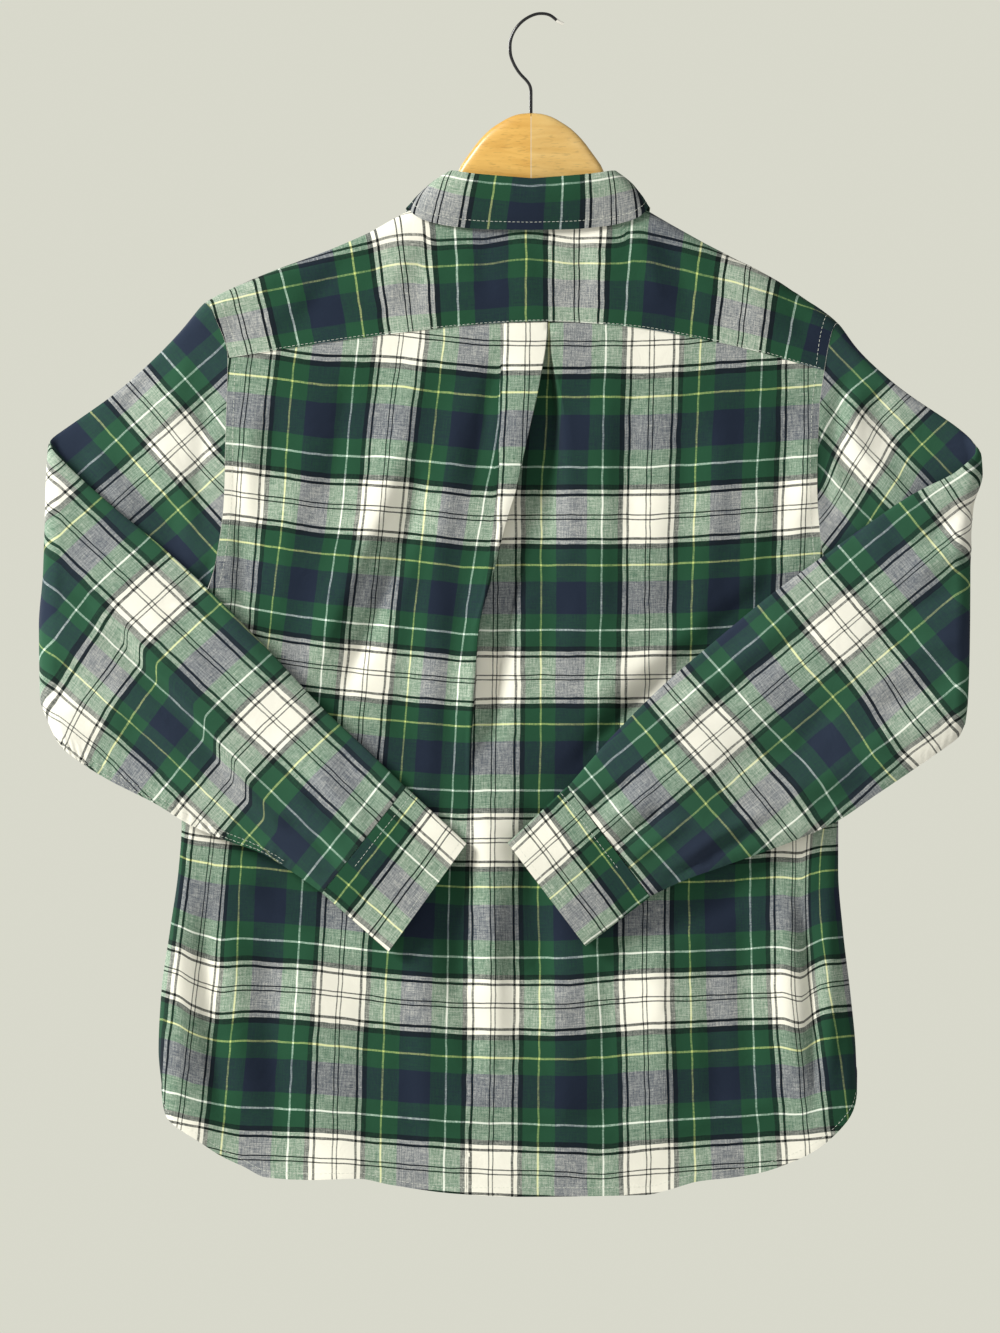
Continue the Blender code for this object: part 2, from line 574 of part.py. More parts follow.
def make_placket(front_points, parent):
    """The button band, made from the left front's own points, moved out."""
    rows = front_points.shape[0]
    across = CENTRE_X + np.array([-PLACKET_HALF, -PLACKET_INNER, PLACKET_INNER, PLACKET_HALF])
    band = np.zeros((rows, len(across), 3))
    for row in range(rows):
        line = front_points[row]
        order = np.argsort(line[:, 0])
        band[row, :, 0] = across
        for axis in (1, 2):
            band[row, :, axis] = np.interp(across, line[order, 0], line[order, axis])
    band[..., 1] += (CLOTH + BAND) / 2 + SEAM
    band[-1, :, 2] -= PLACKET_SHORT
    return shell("front_placket", band, BAND, parent, material="band"), band


def stand_top(angle):
    """The stand's top edge: a long oval with full ends."""
    turn = np.sign(np.cos(angle)) * np.abs(np.cos(angle)) ** STAND_FULL
    y = (STAND_BACK_Y + STAND_FRONT_Y) / 2 - (STAND_FRONT_Y - STAND_BACK_Y) / 2 * turn
    z = smooth(STAND_TOP)(np.abs(np.degrees(angle)))
    return np.stack([STAND_X + STAND_HALF * np.sin(angle), y, z], -1)


def stand_away(angle):
    """Unit vectors, level and square to the stand's oval."""
    across = np.sin(angle) / STAND_HALF
    out = -np.cos(angle) / (STAND_FRONT_Y - STAND_BACK_Y) * 2
    length = np.hypot(across, out)
    return np.stack([across / length, out / length, np.zeros_like(length)], -1)


def make_stand(parent):
    half = np.radians(STAND_COLUMNS)
    angles = np.concatenate([-half[:0:-1], half])
    # Past the front centre the neckline mirrors itself, so the ends keep its height.
    base = torso(*neckline(angles, smooth(STAND_INSET)(np.abs(np.degrees(angles)))))
    top = stand_top(angles)
    top[:, 2] -= BAND / 2
    middle = base + (top - base) * np.array(STAND_ROWS)[:, None, None]
    lap = ease((np.abs(np.degrees(angles)) - STAND_LAP_FROM) / STAND_LAP_OVER)
    middle[..., 1] += STAND_LAP * np.where(angles < 0, lap, -lap)
    return shell("collar_stand", middle, BAND, parent, material="band"), middle


def make_leaf(parent):
    """The fall of the collar: from the stand's top edge, out and down to its two points."""
    half = np.array(LEAF_COLUMNS, float)
    low_degrees = np.concatenate([-half[:0:-1], half])
    low_angle = np.radians(low_degrees)
    top_angle = low_angle * LEAF_OPENING / half[-1]
    away = stand_away(top_angle)
    front = ease((np.abs(low_degrees) - LEAF_TURN_FROM) / LEAF_TURN_OVER)
    top = stand_top(top_angle) + away * (LEAF_CLEAR + (LEAF_FRONT_CLEAR - LEAF_CLEAR) * front)[:, None]
    low_x = NECK_X + LEAF_HALF * np.sin(low_angle)
    back_down = -down_at(low_x, smooth(LEAF_EDGE)(np.abs(low_degrees)))
    low_down = np.where(np.abs(low_degrees) < 90, back_down, -LEAF_POINT_DOWN * np.cos(low_angle))
    low = torso(low_x, low_down)
    across = torso(low_x + STEP, low_down) - torso(low_x - STEP, low_down)
    down = torso(low_x, low_down + STEP) - torso(low_x, low_down - STEP)
    lift = np.cross(down, across)
    lift /= np.linalg.norm(lift, axis=1, keepdims=True)
    low = low - lift * LEAF_PROUD
    way, rolled = np.array(LEAF_ROWS, float).T
    middle = top + (low - top) * way[:, None, None] + away * (LEAF_ROLL * rolled)[:, None, None]
    return shell("collar_leaf", middle, BAND, parent, material="band")


def sleeve_ring(side):
    """The armhole as a ring: over the ridge, down the back to the underarm, and up the front."""
    armhole = ARMHOLE_LEFT if side < 0 else ARMHOLE_RIGHT
    yoke = yoke_rows(-seam_down(side), seam_down(side))
    panel = armhole_downs(armhole, seam_down(side))
    over = int(np.argmin(np.abs(yoke)))
    down = np.concatenate([yoke[over::-1], -panel[::-1][1:], panel[1:-1], yoke[:over:-1]])
    across = smooth(armhole)(np.abs(down)) + side * SEAM / 2
    ring = torso(across, down)
    deepest = max(row[0] for row in armhole)
    low = ease((np.abs(down) / deepest - UNDERARM_FROM) / (1 - UNDERARM_FROM))
    ring[:, 0] += side * UNDERARM_CLEAR * low
    return ring


def elbow(side):
    """Returns the function that bends a flat sleeve round its elbow fold."""
    fold_x = smooth(FOLD_LEFT if side < 0 else FOLD_RIGHT)
    rest_x = ELBOW_LEFT_X if side < 0 else ELBOW_RIGHT_X
    half_turn = ELBOW_RADIUS * math.pi / 2

    def bend(travel, height, level, offset):
        """offset is above zero on the layer that turns inside the fold."""
        edge = ELBOW_DEPTH + CLOTH / 2 + ELBOW_RADIUS
        flat = np.abs(travel) - edge + half_turn
        travel_path = np.sign(travel) * np.maximum(flat, 0)
        angle = np.clip(travel_path / ELBOW_RADIUS, -math.pi / 2, math.pi / 2)
        radius = ELBOW_RADIUS - offset
        out = edge - radius * np.cos(angle) + np.maximum(flat - half_turn, 0)
        turning = np.abs(angle) < math.pi / 2 - 1e-6
        y = np.where(turning, ELBOW_Y - radius * np.sin(angle), level + np.sign(travel) * offset)
        wave = (fold_x(height) - rest_x) * np.exp(-np.abs(travel) / FOLD_FADE)
        return np.stack([rest_x + wave - side * out, y, height], axis=-1)

    return bend


def make_sleeve(name, side, parent):
    table = np.array(SLEEVE_LEFT if side < 0 else SLEEVE_RIGHT, float)
    bend = elbow(side)
    ring = sleeve_ring(side)
    top, low = ring[:, 2].max(), ring[:, 2].min()
    share = (top - ring[:, 2]) / (top - low)
    count = len(ring)
    lowest = int(np.argmax(share))
    face = np.where(np.arange(count) <= lowest, 1.0, -1.0)
    face[0] = face[lowest] = 0
    plump = (4 * share * (1 - share)) ** SLEEVE_PLUMP * face
    rows = []
    for place, (top_travel, top_z, low_travel, low_z, level, depth) in enumerate(table):
        travel = top_travel + (low_travel - top_travel) * share
        height = top_z + (low_z - top_z) * share
        tube = bend(travel, height, level, depth * plump)
        weight = ease(place / SLEEVE_BLEND)
        rows.append(ring * (1 - weight) + tube * weight)
    middle = np.array(rows)
    return shell(name, middle, CLOTH, parent, closed=True), middle, share, face


def make_cuff(name, table, level, parent):
    """A band wrapped round the wrist end whose two ends lap on the hidden face."""
    (top_seam, top_end), (low_seam, low_end) = np.array(table, float).reshape(2, 2, 2)
    turn = 2 * math.pi
    angles = CUFF_START + np.linspace(0, turn * (1 + CUFF_LAP), CUFF_COLUMNS)
    share = (1 - np.cos(angles)) / 2
    plump = np.sign(np.sin(angles)) * np.abs(np.sin(angles)) ** CUFF_SQUARE
    over = ease((angles - CUFF_START - turn + CUFF_RISE_FROM) / CUFF_RISE_OVER)
    rows = []
    for way in (CUFF_CLEAR, *CUFF_ROWS):
        top = top_seam + (top_end - top_seam) * way
        low = low_seam + (low_end - low_seam) * way
        flat = top + (low - top) * share[:, None]
        y = level[0] + (level[1] - level[0]) * way + CUFF_DEPTH * plump + (BAND + LAP) * over
        rows.append(np.column_stack([flat[:, 0], y, flat[:, 1]]))
    return shell(name, np.array(rows), BAND, parent, material="band"), np.array(rows)


def button(name, at, parent, thick=BUTTON_THICK):
    """A flat button with a rounded rim, its face toward +Y."""
    sides = BUTTON_SIDES
    rim = BUTTON_RIM
    half = thick / 2
    profile = ((BUTTON_RADIUS - rim, -half), (BUTTON_RADIUS, -half + rim), (BUTTON_RADIUS, half - rim),
               (BUTTON_RADIUS - rim, half))
    turn = np.linspace(0, 2 * math.pi, sides, endpoint=False)
    points = [(r * math.cos(a), y, r * math.sin(a)) for r, y in profile for a in turn]
    points += [(0, -half, 0), (0, half, 0)]
    faces = []
    for ring in range(len(profile) - 1):
        for k in range(sides):
            after = (k + 1) % sides
            low, high = ring * sides, (ring + 1) * sides
            faces.append((low + k, low + after, high + after, high + k))
    last = (len(profile) - 1) * sides
    back, front = len(points) - 2, len(points) - 1
    faces += [(back, (k + 1) % sides, k) for k in range(sides)]
    faces += [(front, last + k, last + (k + 1) % sides) for k in range(sides)]
    piece = make_object(name, points, faces, "button", parent, round_piece=True)
    piece.location = [value * MM for value in at]
    return piece


def arm_section(out, side):
    """One section of a hanger arm, a ring of points across the arm."""
    x = STEM_X + side * out
    top_dome, low_dome = smooth(DOME, 1)(out), smooth(DOME, 2)(out)
    blend = float(ease((out - DOME_END) / DOME_BLEND))
    arm_top = float(ridge(x)) - ARM_SEAT
    tall = ARM_DROP + (TIP_DROP - ARM_DROP) * ease((out - ARM_DROP_FROM) / (ARM_REACH - ARM_DROP_FROM))
    top = top_dome + (arm_top - top_dome) * blend
    low = low_dome + (arm_top - tall - low_dome) * blend
    share = out / ARM_REACH
    middle = STEM_Y + (float(lie(STEM_X + side * ARM_REACH)) - STEM_Y) * (1 - (1 - share) ** 2)
    middle += (float(lie(x)) - middle) * ease((out - BEND_FROM) / BEND_OVER)
    tip = math.sqrt(max(0.0, 1 - max(0.0, (out - ARM_REACH + TIP_ROUND) / TIP_TURN) ** 2))
    angles = np.linspace(0, 2 * math.pi, ARM_SIDES, endpoint=False) + math.pi / ARM_SIDES
    cos, sin = np.cos(angles), np.sin(angles)
    y = middle + ARM_HALF * tip * np.sign(cos) * np.abs(cos) ** ARM_SQUARE_Y
    kept = TIP_KEPT + (1 - TIP_KEPT) * tip
    z = (top + low) / 2 + (top - low) / 2 * kept * np.sign(sin) * np.abs(sin) ** ARM_SQUARE_Z
    return np.column_stack([np.full(ARM_SIDES, x), y, z])


def make_arm(name, side, parent):
    rings = np.array([arm_section(out, side) for out in (SEAM / 2, *ARM_OUTS)])
    rows, columns = rings.shape[:2]
    index = np.arange(rows * columns).reshape(rows, columns)
    index = np.hstack([index, index[:, :1]])
    faces = [tuple(face) for face in quads(index)]
    faces += [tuple(index[0, :-1]), tuple(index[-1, :-1][::-1])]
    return make_object(name, rings.reshape(-1, 3), faces, "wood", parent, round_piece=True)


def make_hook(parent):
    """Bent wire on a smooth path through the hook's own points."""
    path = np.array(HOOK, float)
    length = np.concatenate([[0], np.cumsum(np.linalg.norm(np.diff(path, axis=0), axis=1))])
    steps = np.linspace(0, length[-1], HOOK_POINTS)
    across = smooth(tuple(zip(length, path[:, 0])))(steps)
    height = smooth(tuple(zip(length, path[:, 1])))(steps)
    curve = bpy.data.curves.new("hook", "CURVE")
    curve.dimensions = "3D"
    curve.bevel_depth = HOOK_WIRE * MM
    curve.bevel_resolution = 2
    curve.use_fill_caps = True
    line = curve.splines.new("POLY")
    line.points.add(len(steps) - 1)
    for point, x, z in zip(line.points, across, height):
        point.co = (x * MM, arm_section(SEAM, 1)[:, 1].mean() * MM, z * MM, 1)
    curve.materials.append(finish("wire"))
    hook = bpy.data.objects.new("hook", curve)
    bpy.context.collection.objects.link(hook)
    hook.parent = parent
    return hook


def lay_strip(name, middle, share, face, parent):
    """A strip on the sleeve's hidden face, made from the sleeve's own points, moved out."""
    hidden = [k for k in range(middle.shape[1]) if face[k] > 0]
    order = sorted(hidden, key=lambda k: share[k])
    spots = np.linspace(*SLEEVE_SLIT, 3)
    strip = np.zeros((SLIT_ROWS, len(spots), 3))
    for row in range(SLIT_ROWS):
        line = middle[row - SLIT_ROWS][order]
        for axis in range(3):
            strip[row, :, axis] = np.interp(spots, share[order], line[:, axis])
    strip[..., 1] += CLOTH + SEAM + LAP
    return shell(name, strip, CLOTH, parent, material="band")


def main():
    clear_scene()
    shirt = bpy.data.objects.new("shirt", None)
    hanger = bpy.data.objects.new("hanger", None)
    bpy.context.collection.objects.link(shirt)
    bpy.context.collection.objects.link(hanger)

    make_back(shirt)
    make_yoke(shirt)
    _, left_points = make_front("front_left", -1, shirt)
    make_front("front_right", 1, shirt)
    _, band = make_placket(left_points, shirt)
    _, stand = make_stand(shirt)
    make_leaf(shirt)

    proud = BAND / 2 + SEAM + BUTTON_THICK / 2
    for number, height in enumerate(FRONT_BUTTONS, start=1):
        y = float(np.interp(height, band[:, 1, 2], band[:, 1:3, 1].mean(axis=1)))
        button(f"front_button_{number}", (CENTRE_X, y + proud, height), shirt)
    at = stand[1:3, 0].mean(axis=0)
    button("collar_button", (NECK_X, at[1] + proud + COLLAR_BUTTON_PROUD, at[2]), shirt)

    arms = (("left", -1, CUFF_LEFT, CUFF_Y_LEFT), ("right", 1, CUFF_RIGHT, CUFF_Y_RIGHT))
    for name, side, cuff, level in arms:
        _, middle, share, face = make_sleeve(f"sleeve_{name}", side, shirt)
        lay_strip(f"sleeve_placket_{name}", middle, share, face, shirt)
        _, wrap = make_cuff(f"cuff_{name}", cuff, level, shirt)
        at = wrap[1:3, -2].mean(axis=0)
        at[1] += BAND / 2 + SEAM + CUFF_BUTTON_THICK / 2
        button(f"cuff_button_{name}", at, shirt, CUFF_BUTTON_THICK)

    make_arm("hanger_left", -1, hanger)
    make_arm("hanger_right", 1, hanger)
    make_hook(hanger)


main()
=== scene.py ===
import math

import bmesh
import bpy
import numpy as np
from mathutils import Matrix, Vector


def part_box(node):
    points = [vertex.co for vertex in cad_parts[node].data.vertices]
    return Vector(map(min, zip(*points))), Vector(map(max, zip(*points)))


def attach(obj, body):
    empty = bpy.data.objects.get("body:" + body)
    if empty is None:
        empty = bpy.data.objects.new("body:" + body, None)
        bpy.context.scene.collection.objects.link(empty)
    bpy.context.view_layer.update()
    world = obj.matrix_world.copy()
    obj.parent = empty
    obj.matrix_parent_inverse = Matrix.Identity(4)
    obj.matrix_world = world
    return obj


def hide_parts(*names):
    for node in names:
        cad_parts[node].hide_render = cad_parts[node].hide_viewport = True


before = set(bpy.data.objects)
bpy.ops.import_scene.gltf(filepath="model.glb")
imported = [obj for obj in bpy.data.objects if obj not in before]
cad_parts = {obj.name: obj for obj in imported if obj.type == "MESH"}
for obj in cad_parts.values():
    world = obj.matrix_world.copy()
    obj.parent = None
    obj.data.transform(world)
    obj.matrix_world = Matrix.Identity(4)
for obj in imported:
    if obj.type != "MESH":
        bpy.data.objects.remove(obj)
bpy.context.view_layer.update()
mm = 0.001
print("frame loaded:", len(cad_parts), "nodes")


# curves and small tools

def smoothCurve(table, column=1):
    # monotone cubic through a table, so it never overshoots
    rows = np.array(sorted(table), float)
    at, value = rows[:, 0], rows[:, column]
    step = np.diff(at)
    rise = np.diff(value) / step
    slope = np.concatenate([rise[:1], np.zeros(len(at) - 2), rise[-1:]])
    same = rise[:-1] * rise[1:] > 0
    both = np.where(same, rise[:-1] + rise[1:], 1.0)
    slope[1:-1] = np.where(same, 2 * rise[:-1] * rise[1:] / both, 0.0)

    def curve(x):
        x = np.clip(np.asarray(x, float), at[0], at[-1])
        i = np.clip(np.searchsorted(at, x, side="right") - 1, 0, len(step) - 1)
        t = (x - at[i]) / step[i]
        start = value[i] * (1 + 2 * t) * (1 - t) ** 2 + slope[i] * step[i] * t * (1 - t) ** 2
        end = value[i + 1] * t * t * (3 - 2 * t) + slope[i + 1] * step[i] * t * t * (t - 1)
        return start + end

    return curve


def curveThrough(at, values):
    return smoothCurve(list(zip(at, values)))


def ease(x):
    x = np.clip(x, 0, 1)
    return x * x * (3 - 2 * x)


def flatPoints(first, second):
    return np.stack(np.broadcast_arrays(first, second), axis=-1).astype(float)


def coons(bottom, top, left, right, rows, columns):
    v, s = np.asarray(rows)[:, None, None], np.asarray(columns)[None, :, None]
    ruled = (1 - v) * bottom[None] + v * top[None] + (1 - s) * left[:, None] + s * right[:, None]
    corners = (1 - v) * ((1 - s) * bottom[0] + s * bottom[-1]) + v * ((1 - s) * top[0] + s * top[-1])
    return ruled - corners


creaseFade = 0.3  # the share of a crease's length over which each end dies away


def creaseLift(x, z, creases):
    # each crease: how far it stands out (below zero sinks in), its reach on its left and on its right
    # as it is followed, then the points that it runs through
    lift = np.zeros(np.broadcast(x, z).shape)
    for depth, leftReach, rightReach, *points in creases:
        line = np.array(points, float)
        lengths = np.hypot(*np.diff(line, axis=0).T)
        nearest = np.full(lift.shape, np.inf)
        off, way = np.zeros(lift.shape), np.zeros(lift.shape)
        for k, length in enumerate(lengths):
            dx, dz = (line[k + 1] - line[k]) / length
            rawAlong = (x - line[k, 0]) * dx + (z - line[k, 1]) * dz
            along = np.clip(rawAlong, 0, length)
            side = (z - line[k, 1]) * dx - (x - line[k, 0]) * dz
            apart = np.hypot(side, rawAlong - along)
            closer = apart < nearest
            nearest = np.where(closer, apart, nearest)
            off = np.where(closer, np.sign(side) * apart, off)
            way = np.where(closer, (lengths[:k].sum() + along) / lengths.sum(), way)
        reach = np.where(off > 0, leftReach, rightReach)
        fade = ease(way / creaseFade) * ease((1 - way) / creaseFade)
        lift = lift + depth * fade * np.exp(-((off / reach) ** 2))
    return lift


# the shirt's body: a flat tube of cloth hung from the hanger's arms

body = {
    "lieY": 2.0, "sweep": 6.0, "sweepReach": 180.0, "halfDepth": 9.0, "backSwell": 4.0, "frontSwell": 18.0,
    "swellStart": 60.0, "roll": 10.0, "centreX": -12.0, "seam": 0.2, "lap": 1.2, "lapReach": 60.0,
    "sideGap": 0.05, "underYoke": 2.0, "tailFrom": 0.02, "tailOver": 0.4,
    "ridge": (  # the shoulder ridge that the hanger holds up: across, height
        (-310, -292), (-303, -270), (-287, -248), (-267, -230.5), (-239, -216), (-206, -202.5), (-167, -188),
        (-134, -173.5), (-119, -165), (-105, -157.5), (-86, -151), (-50, -142), (-10, -130), (30, -140),
        (65, -148), (81, -154), (97, -163), (129, -181), (153, -193.5), (189, -212), (209, -225),
        (239, -247), (257, -274), (271, -293),
    ),
    "sides": (  # height, then where the left and the right side fold over
        (-230, -292, 262), (-500, -283.5, 249), (-560, -284.5, 243), (-649, -285.5, 239), (-684, -288, 239),
        (-730, -294.5, 242.5), (-785, -302, 249), (-828, -304, 253), (-862, -301, 254), (-950, -297, 252),
    ),
    "armholeLeft": (  # distance down from the ridge, across
        (0, -267), (22, -259), (59, -249), (115, -250.5), (170, -252), (215, -258), (246, -270), (262, -289.2),
    ),
    "armholeRight": (
        (0, 239), (22, 233), (43, 229.5), (90, 224), (150, 222.5), (195, 226), (222, 236), (243, 254.7),
    ),
    "yokeSeam": (  # across, height
        (-249, -273.6), (-143, -257.6), (-31, -245.6), (1, -244.2), (49, -246.4), (145, -261.6), (229.5, -284),
    ),
    "hem": (  # across, height
        (-306.7, -862), (-300, -879), (-292, -888), (-271, -902), (-254, -913), (-236, -921.5), (-218, -930),
        (-183, -932), (-145, -931), (-118, -936), (-67, -943), (-17, -945.5), (85, -944), (105, -939.5),
        (128, -933), (155, -930), (178, -926), (199, -919), (221, -908.5), (236, -896.5), (247, -884),
        (256, -866), (259.7, -847),
    ),
    "frontTail": 14.0,
    "foldStart": 130.0, "creaseStrength": 1.25,
    # across at the top and at the hem, half width, height where it starts, depth
    "backFolds": ((-272, -280, 22, -660, 4.5), (212, 222, 24, -655, 4.5), (-150, -165, 26, -790, 3.0)),
    "frontFolds": (
        (-190, -215, 34, -330, 7.0), (-95, -105, 32, -450, 5.5), (80, 92, 34, -420, 6.0),
        (172, 196, 34, -330, 7.0),
    ),
    "backCreases": (
        # from the yoke down toward the left sleeve
        (2.2, 12, 16, (-92, -262), (-104, -310), (-112, -350), (-119, -380)),
        (5.6, 9, 16, (-108, -330), (-119, -372), (-131, -404), (-145, -436), (-159, -468), (-171, -500),
         (-186, -545)),
        (-6.0, 7, 10, (-90, -340), (-99, -388), (-111, -436), (-123, -466), (-138, -500), (-151, -532),
         (-164, -570)),
        (2.2, 14, 10, (-178, -290), (-190, -370), (-206, -450), (-214, -520)),
        (-2.0, 8, 12, (-205, -282), (-214, -350), (-226, -420), (-232, -500)),
        (-1.8, 10, 8, (-150, -275), (-158, -330), (-172, -400)),
        (1.8, 9, 9, (-222, -300), (-236, -360), (-240, -430)),
        (-2.6, 7, 7, (-243, -320), (-240, -400), (-236, -470), (-226, -520)),
        # beside the pleat
        (-3.4, 9, 5, (-33, -262), (-42, -310), (-49, -352), (-52, -390)),
        (2.6, 10, 8, (-56, -268), (-66, -330), (-76, -400), (-92, -480), (-104, -560)),
        (-1.8, 9, 9, (-84, -400), (-96, -470), (-108, -540), (-114, -600)),
        (2.4, 9, 10, (-70, -420), (-80, -490), (-86, -560), (-90, -640)),
        (4.6, 7, 9, (-33, -396), (-36, -424), (-42, -452), (-48, -484), (-52, -520), (-56, -560), (-58, -610)),
        (-5.8, 6, 9, (-12, -396), (-14, -424), (-19, -452), (-24, -484), (-30, -524), (-37, -560), (-40, -610)),
        # pressed in along the forearms, and in the hollow between the cuffs
        (-4.5, 9, 26, (-250, -462), (-226, -484), (-190, -516), (-148, -566), (-108, -612), (-92, -650)),
        (-4.5, 26, 9, (228, -428), (200, -446), (156, -478), (108, -518), (64, -562), (26, -606), (8, -650)),
        (-7.5, 15, 15, (-84, -600), (-78, -660), (-72, -705), (-66, -750), (-58, -810)),
        (5.0, 11, 11, (-44, -620), (-40, -680), (-38, -730), (-40, -790)),
        (-7.5, 14, 14, (0, -600), (-4, -660), (-3, -705), (2, -750), (10, -810)),
        (-4.0, 16, 12, (-236, -690), (-190, -716), (-140, -742)),
        (-4.0, 12, 16, (178, -700), (120, -720), (70, -742)),
        # right half
        (2.0, 10, 14, (54, -262), (52, -330), (50, -420), (48, -520)),
        (-1.6, 12, 9, (76, -275), (72, -350), (70, -440)),
        (-1.8, 14, 10, (112, -285), (116, -370), (108, -450), (96, -540)),
        (1.8, 12, 14, (148, -290), (144, -360), (136, -440), (116, -520)),
        (-2.2, 9, 9, (196, -300), (196, -370), (186, -430), (172, -490)),
        (2.0, 8, 8, (216, -310), (214, -370), (206, -430)),
        (2.8, 8, 12, (22, -560), (62, -530), (104, -506), (150, -486)),
        (-2.4, 9, 7, (30, -590), (74, -552), (112, -522)),
        (-1.6, 9, 9, (4, -520), (20, -470), (30, -420)),
        # hanging folds below the sleeves
        (4.2, 10, 14, (-292, -700), (-290, -760), (-288, -830), (-286, -880)),
        (-4.6, 9, 7, (-268, -690), (-267, -740), (-264, -800), (-258, -850), (-252, -900)),
        (3.2, 12, 12, (-246, -700), (-245, -770), (-240, -830), (-228, -890)),
        (-3.4, 12, 12, (-216, -710), (-214, -770), (-212, -830), (-206, -910)),
        (2.4, 13, 11, (-182, -720), (-180, -790), (-182, -860), (-178, -925)),
        (-2.2, 10, 14, (-140, -740), (-138, -800), (-140, -870), (-134, -930)),
        (2.4, 14, 10, (-96, -730), (-94, -800), (-92, -870), (-88, -940)),
        (-2.6, 10, 10, (-62, -700), (-60, -760), (-56, -820), (-54, -880)),
        (2.8, 9, 9, (-40, -680), (-38, -740), (-36, -800), (-40, -870)),
        (-2.8, 8, 10, (-18, -690), (-22, -750), (-16, -800), (-10, -850)),
        (2.2, 12, 12, (14, -700), (14, -780), (20, -850), (18, -940)),
        (-2.2, 12, 12, (54, -710), (56, -780), (52, -850), (58, -935)),
        (2.4, 10, 15, (92, -700), (96, -780), (98, -850), (96, -930)),
        (-2.2, 14, 10, (136, -700), (136, -780), (142, -850), (140, -920)),
        (-2.4, 8, 12, (164, -690), (164, -760), (168, -830), (176, -900)),
        (3.6, 9, 12, (194, -680), (198, -740), (199, -800), (204, -870)),
        (-5.2, 7, 5, (206, -690), (214, -740), (218, -790), (220, -850), (222, -900)),
        (3.2, 6, 9, (228, -690), (232, -750), (234, -810), (232, -870)),
        # level pulls
        (-1.6, 8, 8, (-250, -668), (-180, -680), (-110, -700)),
        (-1.4, 9, 9, (-130, -880), (-60, -893), (10, -890), (80, -880)),
        (1.5, 9, 9, (-70, -778), (0, -790), (60, -784)),
        (1.4, 8, 8, (90, -892), (150, -880), (200, -868)),
    ),
    "frontStrength": 2.0, "swayAcross": 0.55, "swayDown": 1.1, "frontSag": 6, "frontSagOver": 300,
    "frontCreases": (
        (-3.0, 14, 10, (-215, -300), (-205, -400), (-180, -520)),
        (2.6, 16, 16, (-150, -330), (-140, -480), (-120, -640)),
        (-2.2, 12, 9, (-80, -300), (-66, -400), (-60, -520)), (-2.4, 10, 13, (60, -300), (52, -420), (50, -560)),
        (2.8, 14, 14, (120, -320), (118, -480), (100, -640)), (-2.8, 12, 14, (190, -300), (184, -400), (160, -520)),
        (-3.2, 10, 12, (-240, -640), (-234, -780), (-230, -900)),
        (2.8, 14, 12, (-160, -680), (-162, -800), (-150, -920)),
        (-2.2, 10, 10, (-70, -700), (-64, -810), (-76, -930)), (2.2, 12, 12, (45, -680), (62, -800), (60, -925)),
        (-2.6, 10, 12, (110, -700), (106, -800), (120, -920)), (-3.0, 12, 10, (195, -660), (204, -780), (205, -900)),
        (2.2, 9, 12, (-250, -420), (-236, -520), (-240, -610)), (-2.0, 9, 9, (150, -420), (166, -520), (160, -620)),
        (2.0, 9, 12, (-110, -560), (-92, -650), (-100, -740)), (2.4, 12, 9, (140, -640), (150, -740), (146, -840)),
        (1.8, 9, 9, (-200, -560), (-196, -640), (-204, -720)),
        (-1.8, 10, 10, (-120, -760), (-110, -840), (-116, -920)),
    ),
}
ridge = smoothCurve(body["ridge"])
leftFold = smoothCurve(body["sides"], 1)
rightFold = smoothCurve(body["sides"], 2)
yokeSeam = smoothCurve(body["yokeSeam"])
backHem = smoothCurve(body["hem"])
quarter = body["roll"] * math.pi / 2
spare = quarter - body["roll"]  # what a quarter turn adds to a flat measure


def rollIn(distance):
    angle = np.clip(distance / body["roll"], 0, math.pi / 2)
    return body["roll"] * (1 - np.cos(angle)) + np.maximum(distance - quarter, 0), np.sin(angle)


def lie(across):
    return body["lieY"] + body["sweep"] * (1 - np.exp(-(((across - body["centreX"]) / body["sweepReach"]) ** 2)))


def hangingFolds(across, height, table):
    out = np.zeros_like(across)
    for topX, hemX, halfWidth, start, depth in table:
        way = np.clip((start - height) / (start - body["hem"][0][1]), 0, 1)
        crest = np.exp(-(((across - topX - (hemX - topX) * way) / halfWidth) ** 2))
        out = out + depth * ease((start - height) / body["foldStart"]) * crest
    return out


def torso(across, down):
    # down is measured over the shoulder ridge, below zero on the back
    across, down = np.broadcast_arrays(np.asarray(across, float), np.asarray(down, float))
    onBack = down < 0
    face = np.where(onBack, -1.0, 1.0)
    drop, topShare = rollIn(np.abs(down))
    z = ridge(across) - drop
    left, right = leftFold(z), rightFold(z)
    fromLeft, leftShare = rollIn(across - left + spare)
    fromRight, rightShare = rollIn(right + spare - across)
    middle = (left + right) / 2
    x = np.where(across < middle, left + fromLeft, right - fromRight)
    share = np.clip((x - middle) / ((right - left) / 2), -1, 1)
    swell = np.where(onBack, body["backSwell"], body["frontSwell"]) * (1 - share ** 2) ** 2
    depth = body["halfDepth"] * topShare * leftShare * rightShare + swell * ease(drop / body["swellStart"])
    back = hangingFolds(x, z, body["backFolds"]) + body["creaseStrength"] * creaseLift(x, z, body["backCreases"])
    front = hangingFolds(x, z, body["frontFolds"]) + body["frontStrength"] * creaseLift(x, z, body["frontCreases"])
    depth = depth + np.where(onBack, back, front) * leftShare * rightShare
    return np.stack([x, lie(x) + face * depth, z], axis=-1)


def downAt(across, height):
    drop = np.maximum(ridge(across) - height, 0)
    turned = body["roll"] * np.arccos(1 - np.minimum(drop / body["roll"], 1))
    return np.where(drop < body["roll"], turned, drop + spare)


def onTorso(flat, face):
    return torso(flat[..., 0], face * downAt(flat[..., 0], flat[..., 1]))


# the check, woven from one order of stripes both ways

